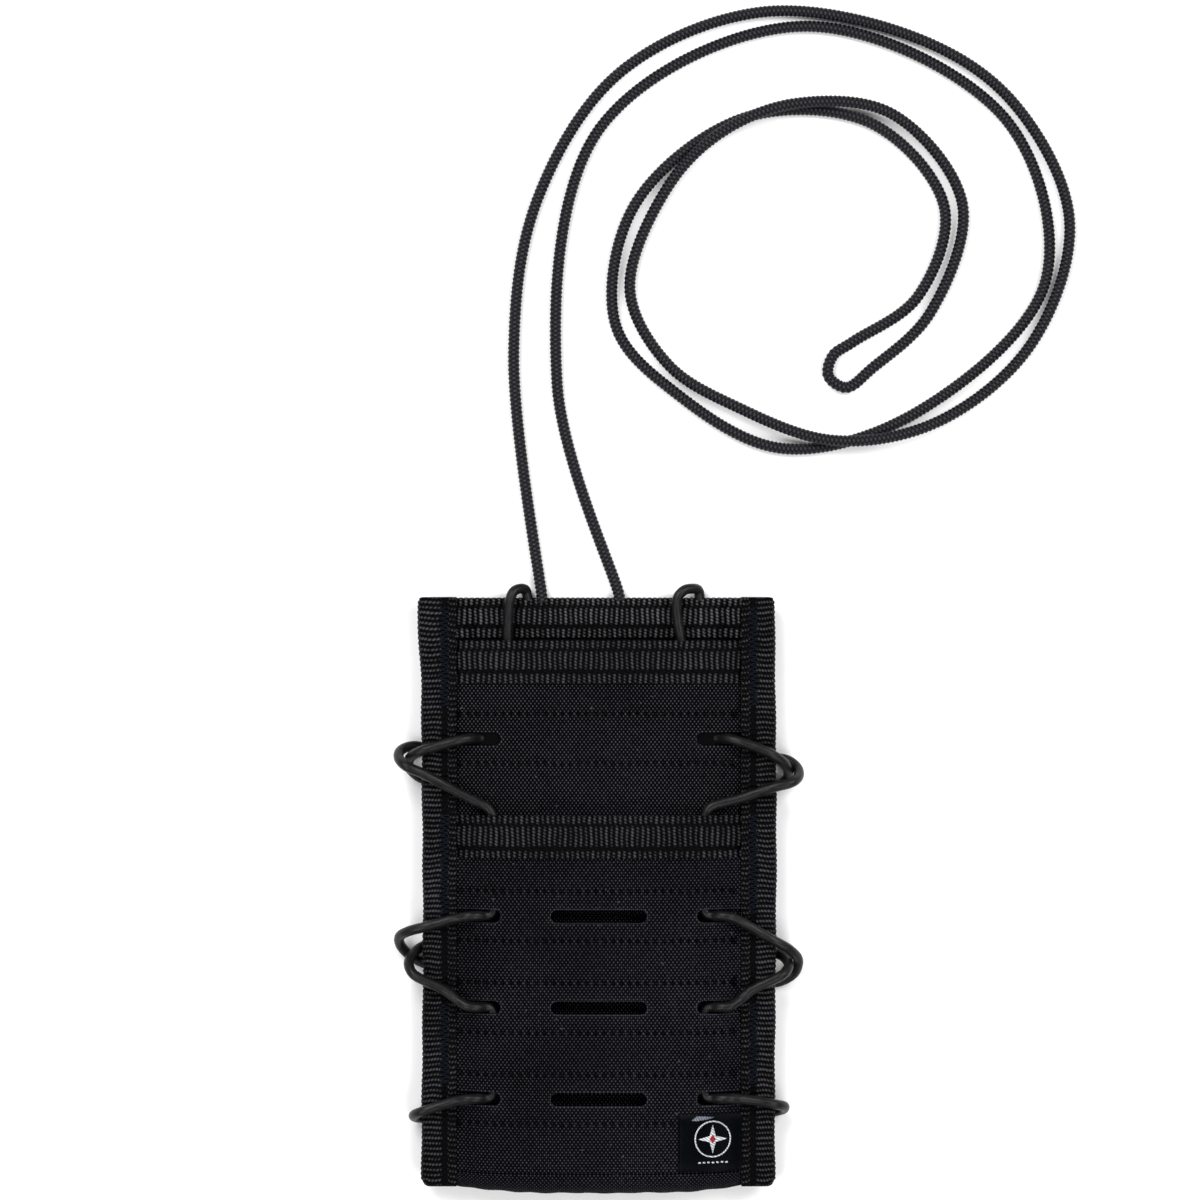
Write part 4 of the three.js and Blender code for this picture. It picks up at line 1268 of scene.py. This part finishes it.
def build_bartacks():
    """Tight zigzag stitching over the side tapes."""
    for label, side in SIDES:
        for n in (1, 2, 3):
            node = f"bartack_{label}_{n}"
            low, high = box_mm(node)
            count = round((high[1] - low[1]) / ZIGZAG_STEP)
            turns = np.arange(count + 1)
            ys = np.linspace(low[1], high[1], count + 1)
            middle, half = (low[0] + high[0]) / 2, (high[0] - low[0]) / 2
            reach = half * (0.78 + 0.22 * np.sin(2.3 * turns + n + side))
            xs = middle + reach * np.where(turns % 2, 1, -1)
            starts = np.column_stack([xs, ys, SIDE_HIGH[2] + 0.08 * np.sin(1.7 * turns)])
            centres = (starts[1:] + starts[:-1]) / 2
            run = starts[1:] - starts[:-1]
            lengths = np.linalg.norm(run, axis=1) + 0.15
            zigzag = threads(f"zigzag_{label}_{n}", centres, run, lengths, 0.26, 0.15, TACK_THREAD)
            ride(zigzag, "back", "thread", node)


PLATE_THICKNESS = 0.14


def plate(name, outline, lift, material):
    """A flat embroidered shape on the label, from the outline of its edge round its middle."""
    outline = np.array(outline, float)
    centre = outline.mean(0)
    count = len(outline)
    edge = [(*p, lift(*p)) for p in outline]
    points = [(x, y, z + PLATE_THICKNESS * 0.5) for x, y, z in edge] + [(x, y, z - 0.1) for x, y, z in edge]
    points += [(*centre, lift(*centre) + PLATE_THICKNESS), (*centre, lift(*centre) - 0.1)]
    faces = [[n, (n + 1) % count, 2 * count] for n in range(count)]
    faces += [[(n + 1) % count + count, n + count, 2 * count + 1] for n in range(count)]
    faces += [[n, n + count, (n + 1) % count + count, (n + 1) % count] for n in range(count)]
    return make_mesh(name, points, faces, material, sharp=80)


LABEL_PUFF = 0.45
TAG_STEPS = 34
TAG_FOLD_POINTS = 7
STAR_POINTS = (3.9, 1.15)
LOZENGE = ((0.85, 0), (0, 1.15), (-0.85, 0), (0, -1.15))
RING_RADIUS = 4.7
UNDERLINE_DROP = 6.2


def label_top(x, y):
    """The upper face of the label, puffed up by its fold."""
    across = (y - LABEL_LOW[1]) / (LABEL_HIGH[1] - LABEL_LOW[1])
    puff = LABEL_PUFF * (1 - np.abs(2 * np.clip(across, 0, 1) - 1) ** 7)
    return front_z(x, y) + FABRIC + GAP + 0.25 + puff


def build_tag():
    """A woven label folded at its left edge and sewn in along its right one."""
    xs = np.linspace(LABEL_LOW[0] + 0.5, LABEL_HIGH[0] + 0.6, TAG_STEPS)
    share = 0.5 - 0.5 * np.cos(np.linspace(0, math.pi, TAG_STEPS))
    ys = LABEL_LOW[1] + (LABEL_HIGH[1] - LABEL_LOW[1]) * share
    turn = np.linspace(math.pi / 2, 1.5 * math.pi, TAG_FOLD_POINTS)[1:-1]
    rings = []
    for y in ys:
        over, under = label_top(xs, y), front_z(xs, y) + FABRIC + GAP - 0.1
        middle, half = (over[0] + under[0]) / 2, (over[0] - under[0]) / 2
        x = np.concatenate([xs[::-1], xs[0] + 0.5 * np.cos(turn), xs])
        z = np.concatenate([over[::-1], middle + half * np.sin(turn), under])
        rings.append(np.column_stack([x, np.full(len(x), y), z]))
    around = running_length(rings[0])
    tag = loft("woven_tag", rings, LABEL_SATIN, ys, np.append(around, around[-1] + 1))
    ride(tag, "label", "label", "woven_label")


def build_emblem(middle):
    """A plain compass star with a lozenge on it and a ring round it."""
    angles = np.linspace(0, 2 * math.pi, 9)[:-1] + math.pi / 2
    star = [middle + STAR_POINTS[n % 2] * np.array([math.cos(a), math.sin(a)]) for n, a in enumerate(angles)]
    ride(plate("emblem_star", star, label_top, WHITE_THREAD), "label", "label")
    lozenge = [middle + np.array(p) for p in LOZENGE]
    ride(plate("emblem_lozenge", lozenge, lambda x, y: label_top(x, y) + 0.12, RED_THREAD), "label", "label")
    turn = np.linspace(0, 2 * math.pi, 61)
    x, y = middle[0] + RING_RADIUS * np.cos(turn), middle[1] + RING_RADIUS * np.sin(turn)
    ring = np.column_stack([x, y, label_top(x, y) + 0.02])
    ride(cord("emblem_ring", ring, RING_RADIUS * turn, 0.2, WHITE_THREAD, 8), "label", "label")


def build_painted_sheen():
    """Pale threads along the left part of the label's top edge: a painted highlight where the folded satin
    catches the light.
    """
    floats = np.arange(6)
    reach = 4.3 * (1 - (floats / 6.5) ** 2)
    centres = [np.array([LABEL_LOW[0] + 5.0 - 0.25 * n, LABEL_HIGH[1] - 0.5 - 0.19 * n, 0]) for n in floats]
    centres = [centre + (0, 0, label_top(*centre[:2]) - 0.02) for centre in centres]
    slants = [(1, -0.03, 0)] * len(centres)
    ends = threads("label_painted_sheen", centres, slants, 2 * reach, 0.11, 0.0, PAINTED_SHEEN)
    ride(ends, "label", "label")


def build_label():
    build_tag()
    middle_x, middle_y, _ = (LABEL_LOW + LABEL_HIGH) / 2
    middle = np.array([middle_x + 0.9, middle_y + 1.1])
    build_emblem(middle)
    build_painted_sheen()
    dashes = middle[0] + np.arange(-3.6, 3.7, 1.2)
    underline_y = middle[1] - UNDERLINE_DROP
    underline = stitch_row("emblem_underline", dashes, underline_y, label_top, WHITE_THREAD, 0.9)
    ride(underline, "label", "label")


build_stage()
build_neck_cord()
build_laces()
build_loops()
build_back()
build_bottom_fold()
build_main_panel()
build_front_pocket()
build_top_tape()
build_mouth_tapes()
build_side_tapes()
build_bartacks()
build_label()
